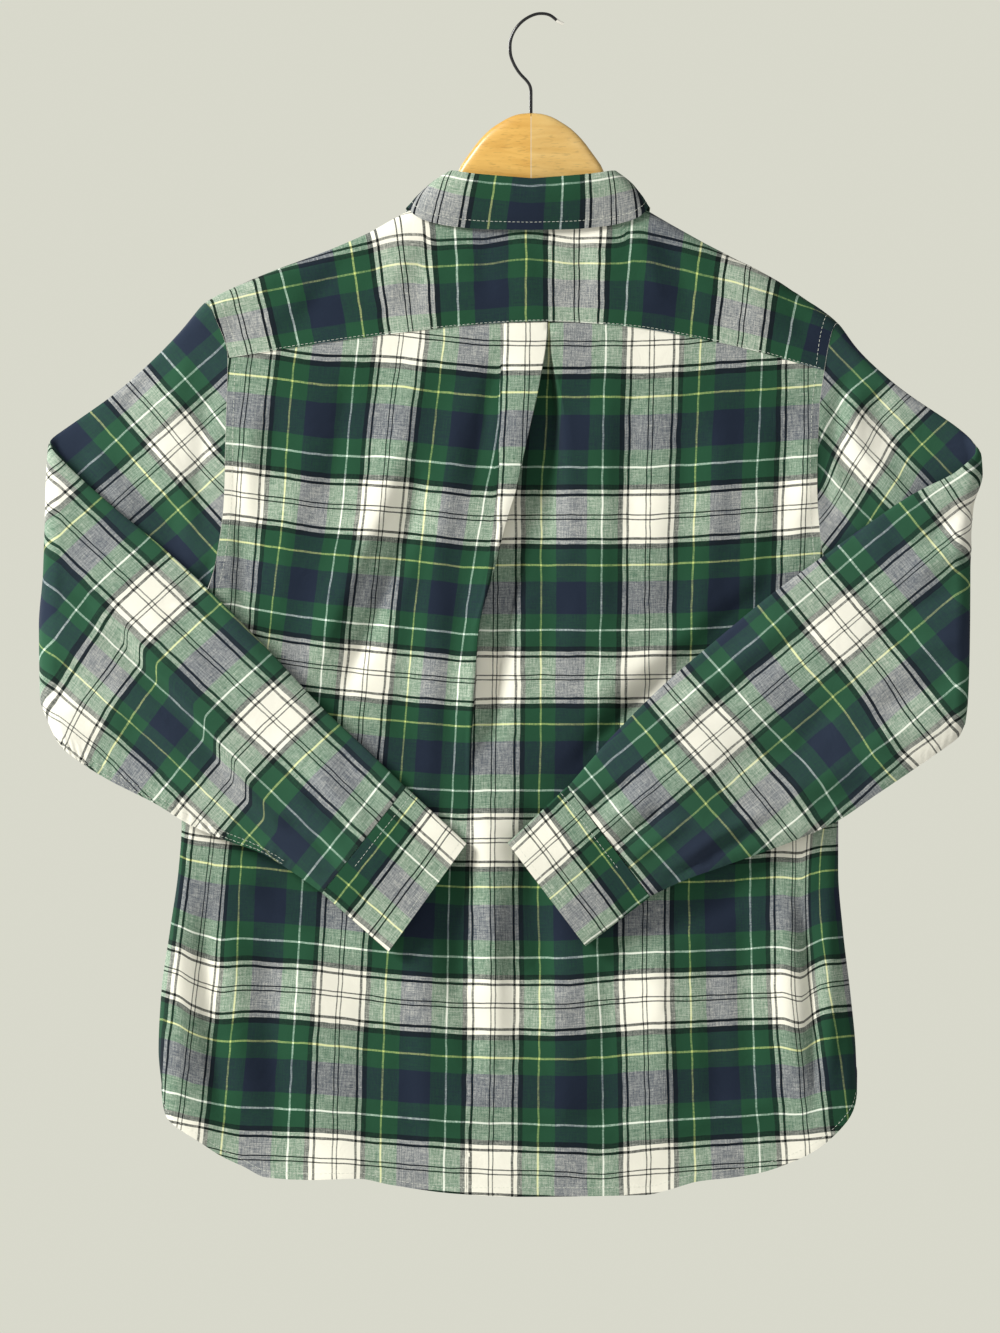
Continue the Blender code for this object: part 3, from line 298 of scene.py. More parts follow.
check = {
    "chart": 128.4, "acrossRepeat": 122.0, "downRepeat": 134.0,
    # where each stripe starts in the chart, and its colour; the block's middle is at 0
    "stripes": (
        (0, "cream"), (1.4, "black"), (2.4, "cream"), (16.2, "black"), (18.2, "cream"), (21.2, "ink"),
        (25.1, "green"), (37.6, "yellow"), (39.1, "green"), (51.3, "navy"), (77.3, "green"), (89.7, "white"),
        (91.15, "green"), (103.5, "ink"), (107.7, "cream"), (110.5, "black"), (112.6, "cream"),
        (126.0, "black"), (127.0, "cream"),
    ),
    "colours": {
        "cream": (0.90, 0.88, 0.775), "white": (0.80, 0.92, 0.82), "green": (0.0180, 0.0715, 0.0370),
        "navy": (0.0150, 0.0225, 0.0415), "ink": (0.0065, 0.0115, 0.0115), "black": (0.0045, 0.006, 0.0058),
        "yellow": (0.60, 0.68, 0.22),
    },
    "mapName": "clothMap",
}
unit = check["acrossRepeat"] / check["chart"]
longUnit = 1.04  # millimetres to a step of the chart the other way
sequence = {"blackPair": 0.0, "yellow": 38.35, "white": 90.4}


def chartPlaces(count):
    # places in the chart of the threads met one after the other, from a pair of black ones
    threads = tuple(sequence.values())
    return np.array([threads[k % 3] + check["chart"] * (k // 3) for k in range(count)])


def betweenLines(x, lines, places, step):
    # place in the chart from the threads on each side; lines is one array per thread
    u = places[0] + (x - lines[0]) / step
    for k in range(len(lines) - 1):
        share = (x - lines[k]) / (lines[k + 1] - lines[k])
        u = np.where(x >= lines[k], places[k] + share * (places[k + 1] - places[k]), u)
    return np.where(x >= lines[-1], places[-1] + (x - lines[-1]) / step, u)


backCheck = {
    "heights": (-260, -332, -388, -468, -548, -700, -772, -836, -916),
    # where each lengthwise thread runs across the back, at those heights, left of the pleat
    "left": (
        (-229.6, -237.6, -240.8, -244.8, -250.4, -265.6, -274.4, -281.6, -291),
        (-193.6, -200.8, -204, -212.8, -221.6, -240, -242.4, -248, -255),
        (-144.8, -152, -156.8, -168.8, -176, -189.6, -193.6, -197.6, -201.6),
        (-110.4, -120, -124.8, -132.8, -140.8, -154.4, -159.2, -162.4, -164),
        (-76, -84, -90.4, -98.4, -105.6, -116.8, -122.4, -124.8, -127),
        (-28, -33.6, -44, -56.8, -65.6, -72, -73.6, -74.4, -76),
    ),
    "right": (
        (-28.8, -32.8, -35.2, -35.2, -36, -37.6, -36.8, -37.6, -39),
        (8, 5.6, 1.6, 1.6, 1.6, -0.8, 0.8, 0, -0.8),
        (53.6, 51.2, 50.4, 49.6, 47.2, 45.6, 47.2, 50.4, 51.2),
        (90.4, 88.8, 87.2, 86.4, 86.4, 84.8, 84, 85.6, 87.2),
        (129.6, 126.4, 124.8, 122.4, 120.8, 120, 120.8, 122.4, 124.8),
        (178.4, 176, 173.6, 172, 170.4, 168.8, 170.4, 172, 176.8),
        (213.6, 213.6, 212, 209.6, 208, 204, 203.2, 208.8, 215.2),
        (247, 247, 245.6, 242, 239, 224, 231, 241, 251.2),
    ),
    "start": {"left": -256.8, "right": 0.0},  # in the chart, for the first thread of each
    "boxBlack": ((-260, -25.4), (-308, -26.8), (-332, -28), (-388, -30.4), (-468, -38.4), (-560, -44)),
    # heights of the crosswise threads at the middle: black pair, yellow, white, black pair, ...
    "weft": (
        -262.4, -305.6, -361.6, -401.6, -440, -492, -529.6, -567.2, -620, -660, -697.6, -754.4, -792.8,
        -835.2, -888, -927.2,
    ),
    # how far those threads rise away from the middle: height, then (across, rise)
    "sag": (
        (-332, ((-249, 19), (-207, 14.5), (-167, 9.5), (-123, 9), (-87, 5), (-63, 2.5), (-31, 0), (81, 0),
                (113, 1.5), (145, 4), (193, 7), (225, 9.5))),
        (-512, ((-247, 21.5), (-223, 16), (-191, 10.5), (-159, 6.5), (-111, 1.5), (-79, -1.5), (-55, -4),
                (-30, -4), (-29, 0), (49, 0), (129, 1.5), (221, 9.5))),
        (-590, ((-262, 22), (-240, 18), (-223, 15.5), (-191, 11), (-159, 7.5), (-111, 2.5), (-79, 0), (-55, -1),
                (-30, -0.4), (49, 0), (129, 1.5), (221, 9))),
        (-792, ((-303, 32), (-289, 28), (-279, 21), (-267, 16), (-255, 13), (-235, 15), (-191, 13),
                (-159, 9.5), (-111, 4), (-63, 1), (17, 0), (49, 3), (81, 5.5), (129, 7), (193, 9.5),
                (209, 5.5), (218, 12), (229, 17.5), (249, 20))),
        (-908, ((-301, 25), (-259, 18.5), (-237, 13.5), (-215, 13), (-159, 10.5), (-111, 6.5), (-63, 3),
                (17, 0), (49, -1.5), (81, 1.5), (129, 5), (177, 8), (249, 13))),
    ),
    "boxTo": -31, "levelTo": 49, "boxRise": ((-262, 0), (-306, 3.6), (-362, 2.4), (-402, 0.8), (-450, 0)),
}


def threadLines(side, height):
    return [curveThrough(backCheck["heights"], row)(height) for row in backCheck[side]]


def backChart(side, x, height):
    lines = threadLines(side, height)
    return betweenLines(x, lines, backCheck["start"][side] + chartPlaces(len(lines)), unit)


def weftChart(x, height, lowerLayer=None):
    heights = [row[0] for row in backCheck["sag"]]
    rises = np.stack([smoothCurve(row[1])(x) for row in backCheck["sag"]])
    if lowerLayer is not None:  # right of the pleat's crease the threads run level
        onBox = smoothCurve(backCheck["sag"][1][1])(np.minimum(x, backCheck["boxTo"]))
        rises[1] = np.where(lowerLayer & (x < backCheck["levelTo"]), 0, np.where(x < 0, onBox, rises[1]))
    at = np.clip(np.interp(-height, [-h for h in heights], range(len(heights))), 0, len(heights) - 1.001)
    low = at.astype(int)
    share = at - low
    above, below = (np.take_along_axis(rises, low[None] + k, 0)[0] for k in (0, 1))
    centre = height - (above * (1 - share) + below * share)
    weft = backCheck["weft"]
    places = chartPlaces(len(weft))
    step = check["downRepeat"] / check["chart"]
    v = np.interp(-centre, [-h for h in weft], places)
    v = np.where(centre > weft[0], places[0] - (centre - weft[0]) / step, v)
    return np.where(centre < weft[-1], places[-1] + (weft[-1] - centre) / step, v)


def readOff(table, value):
    return np.interp(value, [row[0] for row in table], [row[1] for row in table])


def chartToCloth(u, v):
    # chart places to metres of cloth
    scale = mm / check["chart"]
    return np.stack([u * check["acrossRepeat"] * scale, v * check["downRepeat"] * scale], -1)


def feed(tree, node, inputs):
    # inputs gives each socket its value, or the output that feeds it
    for socket, value in inputs.items():
        if isinstance(value, bpy.types.NodeSocket):
            tree.links.new(value, node.inputs[socket])
        else:
            node.inputs[socket].default_value = value


def addNode(tree, kind, inputs, **settings):
    node = tree.nodes.new("ShaderNode" + kind)
    for name, value in settings.items():
        setattr(node, name, value)
    feed(tree, node, inputs)
    return node.outputs


def calculate(tree, operation, *values, clamp=False):
    return addNode(tree, "Math", dict(enumerate(values)), operation=operation, use_clamp=clamp)[0]


def combine(tree, operation, *values):
    return addNode(tree, "VectorMath", dict(enumerate(values)), operation=operation)[0]


def addNoise(tree, place, scale, detail, distortion=0.0, across="3D"):
    inputs = {"Vector": place, "Scale": scale, "Detail": detail, "Distortion": distortion}
    return addNode(tree, "TexNoise", inputs, noise_dimensions=across)


def tone(tree, colour, value, darkest, palest, low=0.0, high=1.0):
    # scales a colour between darkest and palest as a value goes from low to high
    limits = {"Value": value, "From Min": low, "From Max": high, "To Min": darkest, "To Max": palest}
    share = addNode(tree, "MapRange", limits)[0]
    return addNode(tree, "VectorMath", {0: colour, "Scale": share}, operation="SCALE")[0]


def addBump(tree, height, strength, distance, **under):
    inputs = {"Height": height, "Strength": strength, "Distance": distance}
    return addNode(tree, "Bump", {**inputs, **under})["Normal"]


def startMaterial(name, finish):
    material = bpy.data.materials.new(name)
    material.use_nodes = True
    tree = material.node_tree
    shader = tree.nodes["Principled BSDF"]
    feed(tree, shader, finish)
    return material, tree, shader


weave = {
    # sizes of unevenness are counts to a metre of cloth, and heights are in metres
    "finish": {"Roughness": 0.92, "Sheen Weight": 0.03, "Sheen Roughness": 0.6, "Specular IOR Level": 0.06},
    "twill": 0.85, "ribShare": 0.17,  # millimetres from rib to rib, and how far a rib tips warp over weft
    "stray": 45, "strayBy": 0.0016,  # threads never lie perfectly straight
    "fuzz": 650, "fibres": 0.3,  # brushed fibres, and how far they tip it
    "yarnWide": 1150, "yarnLong": 85, "yarns": 0.42,  # thicker and thinner yarns, both ways
    "dye": 14, "dyeLow": 0.3, "dyeHigh": 0.7, "dyeSpread": 0.07,
    "ribHeight": 0.35, "relief": 0.28, "reliefDeep": 0.00025,
    "crumple": 38, "crumpleTwist": 0.6, "crumpleRelief": 0.3, "crumpleDeep": 0.0022,
}


def stripeRamp(tree, along, repeat):
    # the order of stripes, over and over along one direction of the cloth
    share = calculate(tree, "FRACT", calculate(tree, "DIVIDE", along, repeat * mm))
    ramp = tree.nodes.new("ShaderNodeValToRGB")
    ramp.color_ramp.interpolation = "CONSTANT"
    stops = ramp.color_ramp.elements
    for k, (start, colour) in enumerate(check["stripes"]):
        stop = stops[k] if k < 2 else stops.new(start / check["chart"])
        stop.position = start / check["chart"]
        stop.color = (*[c ** (1 / 3) for c in check["colours"][colour]], 1)
    feed(tree, ramp, {0: share})
    return ramp.outputs["Color"]


def clothMaterial(name, weftShare, dyeGammaAndPaintedLight=3.0):
    # weftShare is how much of the face is weft; a gamma below 3 paints the colours paler, as painted light
    material, tree, shader = startMaterial(name, weave["finish"])
    place = addNode(tree, "UVMap", {}, uv_map=check["mapName"])["UV"]
    stray = combine(tree, "SUBTRACT", addNoise(tree, place, weave["stray"], 2, across="2D")["Color"], (0.5, 0.5, 0.5))
    moved = combine(tree, "MULTIPLY_ADD", stray, (weave["strayBy"], weave["strayBy"], 0), place)
    split = addNode(tree, "SeparateXYZ", {0: moved})
    # warp stripes follow one another across the cloth, weft ones down it
    warp = stripeRamp(tree, split[0], check["acrossRepeat"])
    weft = stripeRamp(tree, split[1], check["downRepeat"])

    # slanting ribs where warp or weft lies on top
    slant = calculate(tree, "ADD", split[0], split[1])
    rib = calculate(tree, "SINE", calculate(tree, "MULTIPLY", slant, 2 * math.pi / (weave["twill"] * mm)))
    fuzz = addNoise(tree, place, weave["fuzz"], 2, across="2D")["Fac"]
    uneven = calculate(tree, "MULTIPLY", fuzz, weave["fibres"])
    for stretch, share in (((weave["yarnLong"], weave["yarnWide"], 1), weave["yarns"]),
                           ((weave["yarnWide"], weave["yarnLong"], 1), -weave["yarns"])):
        yarn = addNoise(tree, combine(tree, "MULTIPLY", place, stretch), 1, 2, across="2D")["Fac"]
        uneven = calculate(tree, "MULTIPLY_ADD", yarn, share, uneven)
    shared = calculate(tree, "ADD", uneven, weftShare - 0.5 * weave["fibres"])
    onTop = calculate(tree, "MULTIPLY_ADD", rib, weave["ribShare"], shared, clamp=True)
    mixed = addNode(tree, "Mix", {"Factor": onTop, "A": warp, "B": weft}, data_type="RGBA")["Result"]
    # the ramps hold cube roots, where dyed yarns mix as the eye sees them
    # this gamma, set below 3 for the sleeves, paints them paler as painted light
    dyed = addNode(tree, "Gamma", {"Color": mixed, "Gamma": dyeGammaAndPaintedLight})[0]
    dye = addNoise(tree, place, weave["dye"], 4, across="2D")["Fac"]
    low, high = 1 - weave["dyeSpread"], 1 + weave["dyeSpread"]
    toned = tone(tree, dyed, dye, low, high, weave["dyeLow"], weave["dyeHigh"])

    # relief of the ribs and fibres, over soft crumples
    relief = calculate(tree, "MULTIPLY_ADD", rib, weave["ribHeight"], fuzz)
    fine = addBump(tree, relief, weave["relief"], weave["reliefDeep"])
    crumple = addNoise(tree, place, weave["crumple"], 3, weave["crumpleTwist"], "2D")["Fac"]
    soft = addBump(tree, crumple, weave["crumpleRelief"], weave["crumpleDeep"], Normal=fine)
    feed(tree, shader, {"Base Color": toned, "Normal": soft})
    return material


def plainMaterial(name, colour, roughness, metallic=0.0, coat=0.0, noise=0.0, scale=300.0, bump=0.0):
    # noise is how far the colour varies, scale how fine that is, bump how strong its relief
    finish = {"Roughness": roughness, "Metallic": metallic, "Coat Weight": coat, "Base Color": (*colour, 1)}
    material, tree, shader = startMaterial(name, finish)
    place = addNode(tree, "TexCoord", {})["Object"]
    grain = addNoise(tree, place, scale, 3)["Fac"]
    feed(tree, shader, {"Base Color": tone(tree, colour, grain, 1 - noise, 1 + noise)})
    if bump:
        feed(tree, shader, {"Normal": addBump(tree, grain, bump, 0.0003)})
    return material


tartan = clothMaterial("brushed tartan twill", 0.545)
turnedTartan = clothMaterial("brushed tartan twill cut crosswise", 0.42)
# the sleeves are painted paler than the back: painted light, for the stronger light that falls on them
paintedLightTartan = clothMaterial("tartan twill painted paler as lit", 0.545, dyeGammaAndPaintedLight=2.68)
thread = plainMaterial("sewing thread", (0.74, 0.76, 0.68), 0.8, noise=0.15, scale=900)


def outward(grid, closed=False):
    along = np.gradient(grid, axis=0)
    if closed:  # the last column repeats the first
        ring = grid[:, :-1]
        across = np.roll(ring, -1, axis=1) - np.roll(ring, 1, axis=1)
        across = np.concatenate([across, across[:, :1]], axis=1)
    else:
        across = np.gradient(grid, axis=1)
    normal = np.cross(across, along)
    return normal / np.maximum(np.linalg.norm(normal, axis=-1, keepdims=True), 1e-9)


def addObject(name, data):
    thing = bpy.data.objects.new(name, data)
    bpy.context.scene.collection.objects.link(thing)
    return thing


def wear(piece, slot, *nodes):
    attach(piece, "root")
    if nodes:
        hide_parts(*nodes)


def makeMesh(name, points, faces, material, loopMap=None, sharp=45):
    mesh = bpy.data.meshes.new(name)
    mesh.from_pydata(np.asarray(points, float) * mm, [], faces)
    if loopMap is not None:
        layer = mesh.uv_layers.new(name=check["mapName"])
        layer.data.foreach_set("uv", np.asarray(loopMap, np.float32).ravel())
    work = bmesh.new()
    work.from_mesh(mesh)
    bmesh.ops.remove_doubles(work, verts=work.verts, dist=1e-7)
    bmesh.ops.recalc_face_normals(work, faces=work.faces)
    work.to_mesh(mesh)
    work.free()
    mesh.materials.append(material)
    mesh.shade_smooth()
    mesh.set_sharp_from_angle(angle=math.radians(sharp))
    return addObject(name, mesh)


def clothPiece(name, middle, chart, wall, slot, node, closed=False, lift=None, cloth=tartan):
    # a thin shell on a grid of middle points; chart gives each point's place in the check
    normal = outward(middle, closed)
    if lift is not None:
        middle = middle + normal * lift[..., None]
        normal = outward(middle, closed)
    wall = np.broadcast_to(wall, middle.shape[:2])[..., None] / 2
    rows, columns = middle.shape[:2]
    points = np.concatenate([(middle + normal * wall).reshape(-1, 3), (middle - normal * wall).reshape(-1, 3)])
    count = rows * columns
    index = np.arange(count).reshape(rows, columns)
    corners = index[:-1, :-1], index[:-1, 1:], index[1:, 1:], index[1:, :-1]
    front = np.stack([c.ravel() for c in corners], axis=1)
    rims = [index[0], index[-1][::-1]]
    if not closed:
        rims += [index[::-1, 0], index[:, -1]]
    edges = [np.stack([rim[1:], rim[:-1], rim[:-1] + count, rim[1:] + count], axis=1) for rim in rims]
    faces = np.concatenate([front, front[:, ::-1] + count, *edges])
    spots = chartToCloth(chart[..., 0], chart[..., 1]).reshape(-1, 2)
    spots = np.concatenate([spots, spots])
    if closed:  # both ends of a row are one place
        first, last = index[:, 0], index[:, -1]
        points[last], points[last + count] = points[first], points[first + count]
    piece = makeMesh(name, points, faces.tolist(), cloth, spots[faces.ravel()])
    wear(piece, slot, node)
    print("made", name, len(faces), "faces")
    return {"piece": piece, "middle": middle, "normal": normal, "half": wall}


wallPlain, wallBand, wallHem = 0.8, 1.3, 1.7


# back panel with its box pleat
pleat = {
    "from": -78.0, "to": 46.0, "layer": 1.0, "topX": -11.6, "hemX": -37.0,
    "boxStart": -17.2,  # in the check, for the black thread on the box
    "columns": (9, 12, 14, 6),  # from the panel to the fold, on the box, below its crease, to the panel
    "opensOver": 6.0, "spread": 2.4, "rightSpread": 2.2, "crown": 0.5, "foldHalf": 3, "creaseHalf": 1.2,
    "apart": 1.5, "leastUnder": 1.0, "mostUnder": 10.0, "press": 0.9,
    # over a fold: share of what runs under, nudge, share of the height, share of the way to the far cloth
    "leftFold": ((1, -0.6, 0.0, 0.0), (1, 0, 0.25, 0.1), (1, -0.6, 0.5, 0.2), (0, 0.6, 0.5, 0.9), (0, 0, 0.75, 0.95),
                 (0, 0.6, 1.0, 1.0)),
    "rightFold": ((0, -0.36, 1.0, 0.0), (0, 0, 0.8, 0.04), (0, -0.3, 0.6, 0.08), (-1, 0.6, 0.25, 0.9),
                  (-1, 0, 0.1, 0.95), (-1, 0.6, 0.0, 1.0)),
    # edges and hidden cloth by height
    "leftEdge": ((-245.6, -30.4), (-308, -30.8), (-356, -32), (-388, -34.4), (-420, -38.4), (-436, -42),
                 (-468, -50), (-504, -60), (-945, -66)),
    "rightEdge": ((-245.6, 7.2), (-268, 4.8), (-284, 2), (-304, -1.6), (-328, -7.2), (-348, -11.6),
                  (-368, -16), (-384, -19.6), (-397.6, -24), (-417.6, -29.6), (-440, -35.2), (-460, -40.8),
                  (-484, -47.2), (-504, -49.6), (-548, -52), (-588, -54.4), (-945, -56)),
    "rim": ((-245.6, 9), (-268, 10.4), (-284, 13.6), (-316, 20), (-370, 24), (-420, 26), (-500, 28), (-945, 28)),
    "leftHidden": ((-245.6, 18), (-308, 16), (-332, 14), (-356, 10), (-380, 7), (-404, 4.5), (-436, 2),
                   (-468, 0), (-945, 0)),
    "rightHidden": ((-245.6, 21), (-424, 21), (-468, 14.5), (-484, 11.5), (-508, 8), (-548, 6), (-588, 3.5),
                    (-644, 0), (-945, 0)),
    "recess": ((-245.6, 0), (-254, 3), (-268, 9), (-290, 16), (-330, 19), (-370, 17), (-410, 12.5),
               (-450, 9), (-490, 6), (-540, 3.5), (-640, 0), (-945, 0)),
    "floorShare": 0.62, "seamPress": 12.0, "seamKept": 0.25,
}


def panelSide(side):
    fold = leftFold if side < 0 else rightFold
    armhole = body["armholeLeft"] if side < 0 else body["armholeRight"]
    hemZ = body["hem"][0][1] if side < 0 else body["hem"][-1][1]
    seam, deepest = seamDown(side), max(row[0] for row in armhole)
    downs = seam + (deepest - seam) * armShares
    armX = smoothCurve(armhole)(downs)
    armZ = ridge(armX) - (downs - spare)
    seamZ = hemZ + (armZ[0] - hemZ) * sideRows
    seamX = fold(seamZ) + side * spare
    x = np.concatenate([seamX, armX[1:]]) - side * body["sideGap"]
    return flatPoints(x, np.concatenate([seamZ, armZ[1:]]))


def seamDown(side):  # where the yoke seam ends
    across = body["yokeSeam"][0][0] if side < 0 else body["yokeSeam"][-1][0]
    return float(downAt(across, yokeSeam(across)))


def closerAtStart(few, many, share=0.1):
    # shares of a width, closer together over its first part
    return np.concatenate([np.linspace(0, share, few)[:-1], np.linspace(share, 1, many)])


sideShare = 0.6
sideRows = np.linspace(0, 1, 112)
armShares = 1 - np.linspace(0, 1, 66)
panelRows = np.concatenate([sideRows * sideShare, sideShare + (1 - sideShare) * (1 - armShares[1:])])
edgeColumns = closerAtStart(9, 50)


def pleatStrip(z):
    # across, lift and place in the check for every column of the strip, a row for each height
    z = z[:, None]
    tables = ("leftEdge", "rightEdge", "rim", "leftHidden", "rightHidden", "recess")
    left, right, rim, leftHidden, rightHidden, deep = (smoothCurve(pleat[name])(z) for name in tables)
    folded, turned = ease(leftHidden / pleat["opensOver"]), ease(rightHidden / pleat["opensOver"])
    under = leftHidden / 2
    room = np.maximum(right - left - under * folded - pleat["apart"], pleat["leastUnder"])
    back = np.minimum(rightHidden / 2, np.where(folded < 0.02, pleat["mostUnder"], room))
    press = pleat["seamKept"] + (1 - pleat["seamKept"]) * ease((pleat["rim"][0][0] - z) / pleat["seamPress"])
    boxUp = 2 * pleat["layer"] * np.maximum(folded, pleat["press"] * turned) * press
    leftUp = 2 * pleat["layer"] * folded * press
    black = smoothCurve(backCheck["boxBlack"])(z)
    columns = []

    def plainChart(x):
        return np.where(x < right, backChart("left", x, z), backChart("right", x, z))

    def faceChart(x):
        box = pleat["boxStart"] + (x - black) / unit
        return box * folded + backChart("left", x, z) * (1 - folded)

    def addColumn(x, lift, chart):
        columns.append([np.broadcast_to(values, z.shape) for values in (x, lift, chart)])

    def turnOver(fold, edge, reach, share, floor, height, near, far, spread):
        for (part, nudge, up, way), aside in zip(fold, np.linspace(-spread, spread, len(fold))):
            x = edge + (part * reach + nudge) * share + aside * (1 - share)
            layered = near + (far - near) * way
            addColumn(x, floor + (height - floor) * up, layered * share + plainChart(x) * (1 - share))

    panelCount, boxCount, lowerCount, endCount = pleat["columns"]
    for share in np.linspace(0, 1, panelCount):
        x = pleat["from"] + (left - pleat["foldHalf"] - pleat["from"]) * share
        addColumn(x, 0, plainChart(x))
    # the left fold: under the box, back, and over onto it
    box = pleat["boxStart"] + (left - black) / unit
    beneath = backChart("left", left + under, z)
    turnOver(pleat["leftFold"], left, under, folded, 0, leftUp, beneath, box, pleat["spread"])
    # the box's face, as far as the crease on its right
    for share in np.linspace(0, 1, boxCount)[1:-1]:
        x = left + pleat["foldHalf"] + (right - pleat["creaseHalf"] - left - pleat["foldHalf"]) * share
        crown = pleat["crown"] * 4 * share * (1 - share) * turned
        addColumn(x, leftUp + (boxUp - leftUp) * ease(share) + crown, faceChart(x))
    # the crease: over the edge, back under, and out onto the lower layer
    lower = backChart("right", right - back, z)
    turnOver(pleat["rightFold"], right, back, turned, -deep, boxUp, faceChart(right), lower, pleat["rightSpread"])
    # the lower layer, and up its slope to the panel
    for share in np.linspace(0, 1, lowerCount):
        x = right + pleat["creaseHalf"] + (rim - right - pleat["creaseHalf"]) * share
        slope = ease((share - pleat["floorShare"]) / (1 - pleat["floorShare"]))
        addColumn(x, -deep * (1 - slope), backChart("right", x, z))
    for share in np.linspace(0, 1, endCount)[1:]:
        x = rim + (pleat["to"] - rim) * share
        addColumn(x, 0, backChart("right", x, z))
    return [np.concatenate(values, axis=1) for values in zip(*columns)]


def hemmed(points):
    # the turned hem is thicker than the cloth above it
    wall = np.full(points.shape[:2], wallPlain)
    wall[:2] = wallHem
    return wall


def makeBack():
    left, right = (panelSide(side) for side in (-1, 1))
    hemZ, topZ = float(backHem(pleat["hemX"])), float(yokeSeam(pleat["topX"]))
    heights = hemZ + (topZ - hemZ) * panelRows
    across, lift, stripChart = pleatStrip(heights)
    grids, charts = [], []
    for name, edge, inner, way in (("left", left, across[:, 0], 1), ("right", right, across[:, -1], -1)):
        hemX, topX = (edge[row, 0] + (inner[row] - edge[row, 0]) * edgeColumns for row in (0, -1))
        bottom, top = flatPoints(hemX, backHem(hemX)), flatPoints(topX, yokeSeam(topX) + body["underYoke"])
        bottom[0], top[0] = edge[0], edge[-1]
        inside = flatPoints(inner, heights)
        inside[0], inside[-1] = bottom[-1], top[-1]
        flat = coons(bottom, top, edge, inside, panelRows, edgeColumns)
        x, z = flat[..., 0], flat[..., 1]
        grids.append(onTorso(flat, -1)[:, ::way])
        charts.append(np.stack([backChart(name, x, z), weftChart(x, z)], -1)[:, ::way])
    middle = heights[:, None] + (grids[0][:, -1, 2] - heights)[:, None] * np.ones_like(across)
    middle[-1] = yokeSeam(across[-1]) + body["underYoke"]
    middle[0] = backHem(across[0])
    strip = onTorso(flatPoints(across, middle), -1)
    strip[..., 1] -= lift
    lower = across > smoothCurve(pleat["rightEdge"])(middle) + 0.5
    boxed = (across > smoothCurve(pleat["leftEdge"])(middle)) & ~lower
    rise = np.where(boxed, smoothCurve(backCheck["boxRise"])(middle), 0) / longUnit
    stripChart = np.stack([stripChart, weftChart(across, middle, lower) + rise], -1)
    points = np.hstack([grids[0], strip[:, 1:-1], grids[1]])
    chart = np.hstack([charts[0], stripChart[:, 1:-1], charts[1]])
    return clothPiece("backBody", points, chart, hemmed(points), "cloth", "back_body")


neck = {
    "x": -9.0, "half": 74.0, "back": 40.0, "front": 98.0, "yokeFront": 50.0, "low": (-110, 86),
    "yokeShare": 0.66, "round": 110, "columns": 34, "rows": 46, "steps": (7, 34),
    "pull": ((0, 1), (0.027, 0.95), (0.061, 0.9), (0.098, 0.84), (0.242, 0.65), (0.424, 0.4), (0.636, 0.15),
             (0.85, 0), (1, 0)),
}
yokeNeck = math.pi / 2 + math.asin(neck["yokeFront"] / neck["front"])

yokeCheck = {
    # lengthwise here runs across the shoulders: each thread at the seam and at the ridge
    "threads": (
        (-269, -283), (-231, -246), (-192, -208), (-140, -152), (-102.4, -114), (-64, -68), (-10.4, -10.4),
        (30.4, 30.4), (69, 76), (121, 130.4), (161, 168), (197, 208), (246, 262),
    ),
    "places": (-295.15, -256.8, -218.8, -166.75, -128.4, -90.4, -38.35, 0, 38, 90.05, 128.4, 166.4, 218.45),
    "below": 0.6, "lap": 0.95, "lapOver": 14.0,  # it laps the panel at its seam
    "box": -12, "boxHalf": 34, "boxLift": 1.3, "boxOver": 24.0,  # and stands out over the pleat
    # place in the check against the distance up from the back seam
    "up": ((-8, 98), (0, 90), (12.8, 77.3), (36, 51.3), (49.6, 38.35), (71.2, 17.2), (90, 0), (200, -106)),
    "creases": (
        (1.8, 9, 12, (-100, -176), (-112, -205), (-128, -246)), (-1.8, 7, 9, (-84, -172), (-92, -205), (-104, -250)),
        (-2.0, 10, 8, (-150, -196), (-172, -224), (-196, -262)),
        (1.8, 10, 12, (-186, -214), (-206, -240), (-226, -268)),
        (-1.4, 8, 8, (-40, -178), (-44, -205), (-40, -238)), (1.4, 9, 9, (-14, -176), (-12, -206), (-8, -240)),
        (-1.6, 8, 10, (30, -176), (36, -206), (34, -240)), (1.8, 8, 10, (78, -172), (90, -206), (96, -248)),
        (-2.0, 9, 9, (96, -176), (112, -208), (124, -254)), (1.8, 12, 9, (150, -200), (170, -230), (184, -266)),
        (-1.8, 9, 9, (190, -216), (206, -240), (216, -272)), (-1.5, 8, 8, (-90, -178), (-20, -184), (60, -180)),
        (-1.6, 8, 8, (-240, -232), (-246, -252), (-244, -272)),
    ),
}


farBelow = 400  # out of reach of every crease on the yoke


def neckline(angle, inset=0.0):
    turn = np.cos(angle)
    reach = np.where(turn > 0, neck["back"] - inset, neck["front"] - inset)
    return neck["x"] + (neck["half"] - inset) * np.sin(angle), -reach * turn


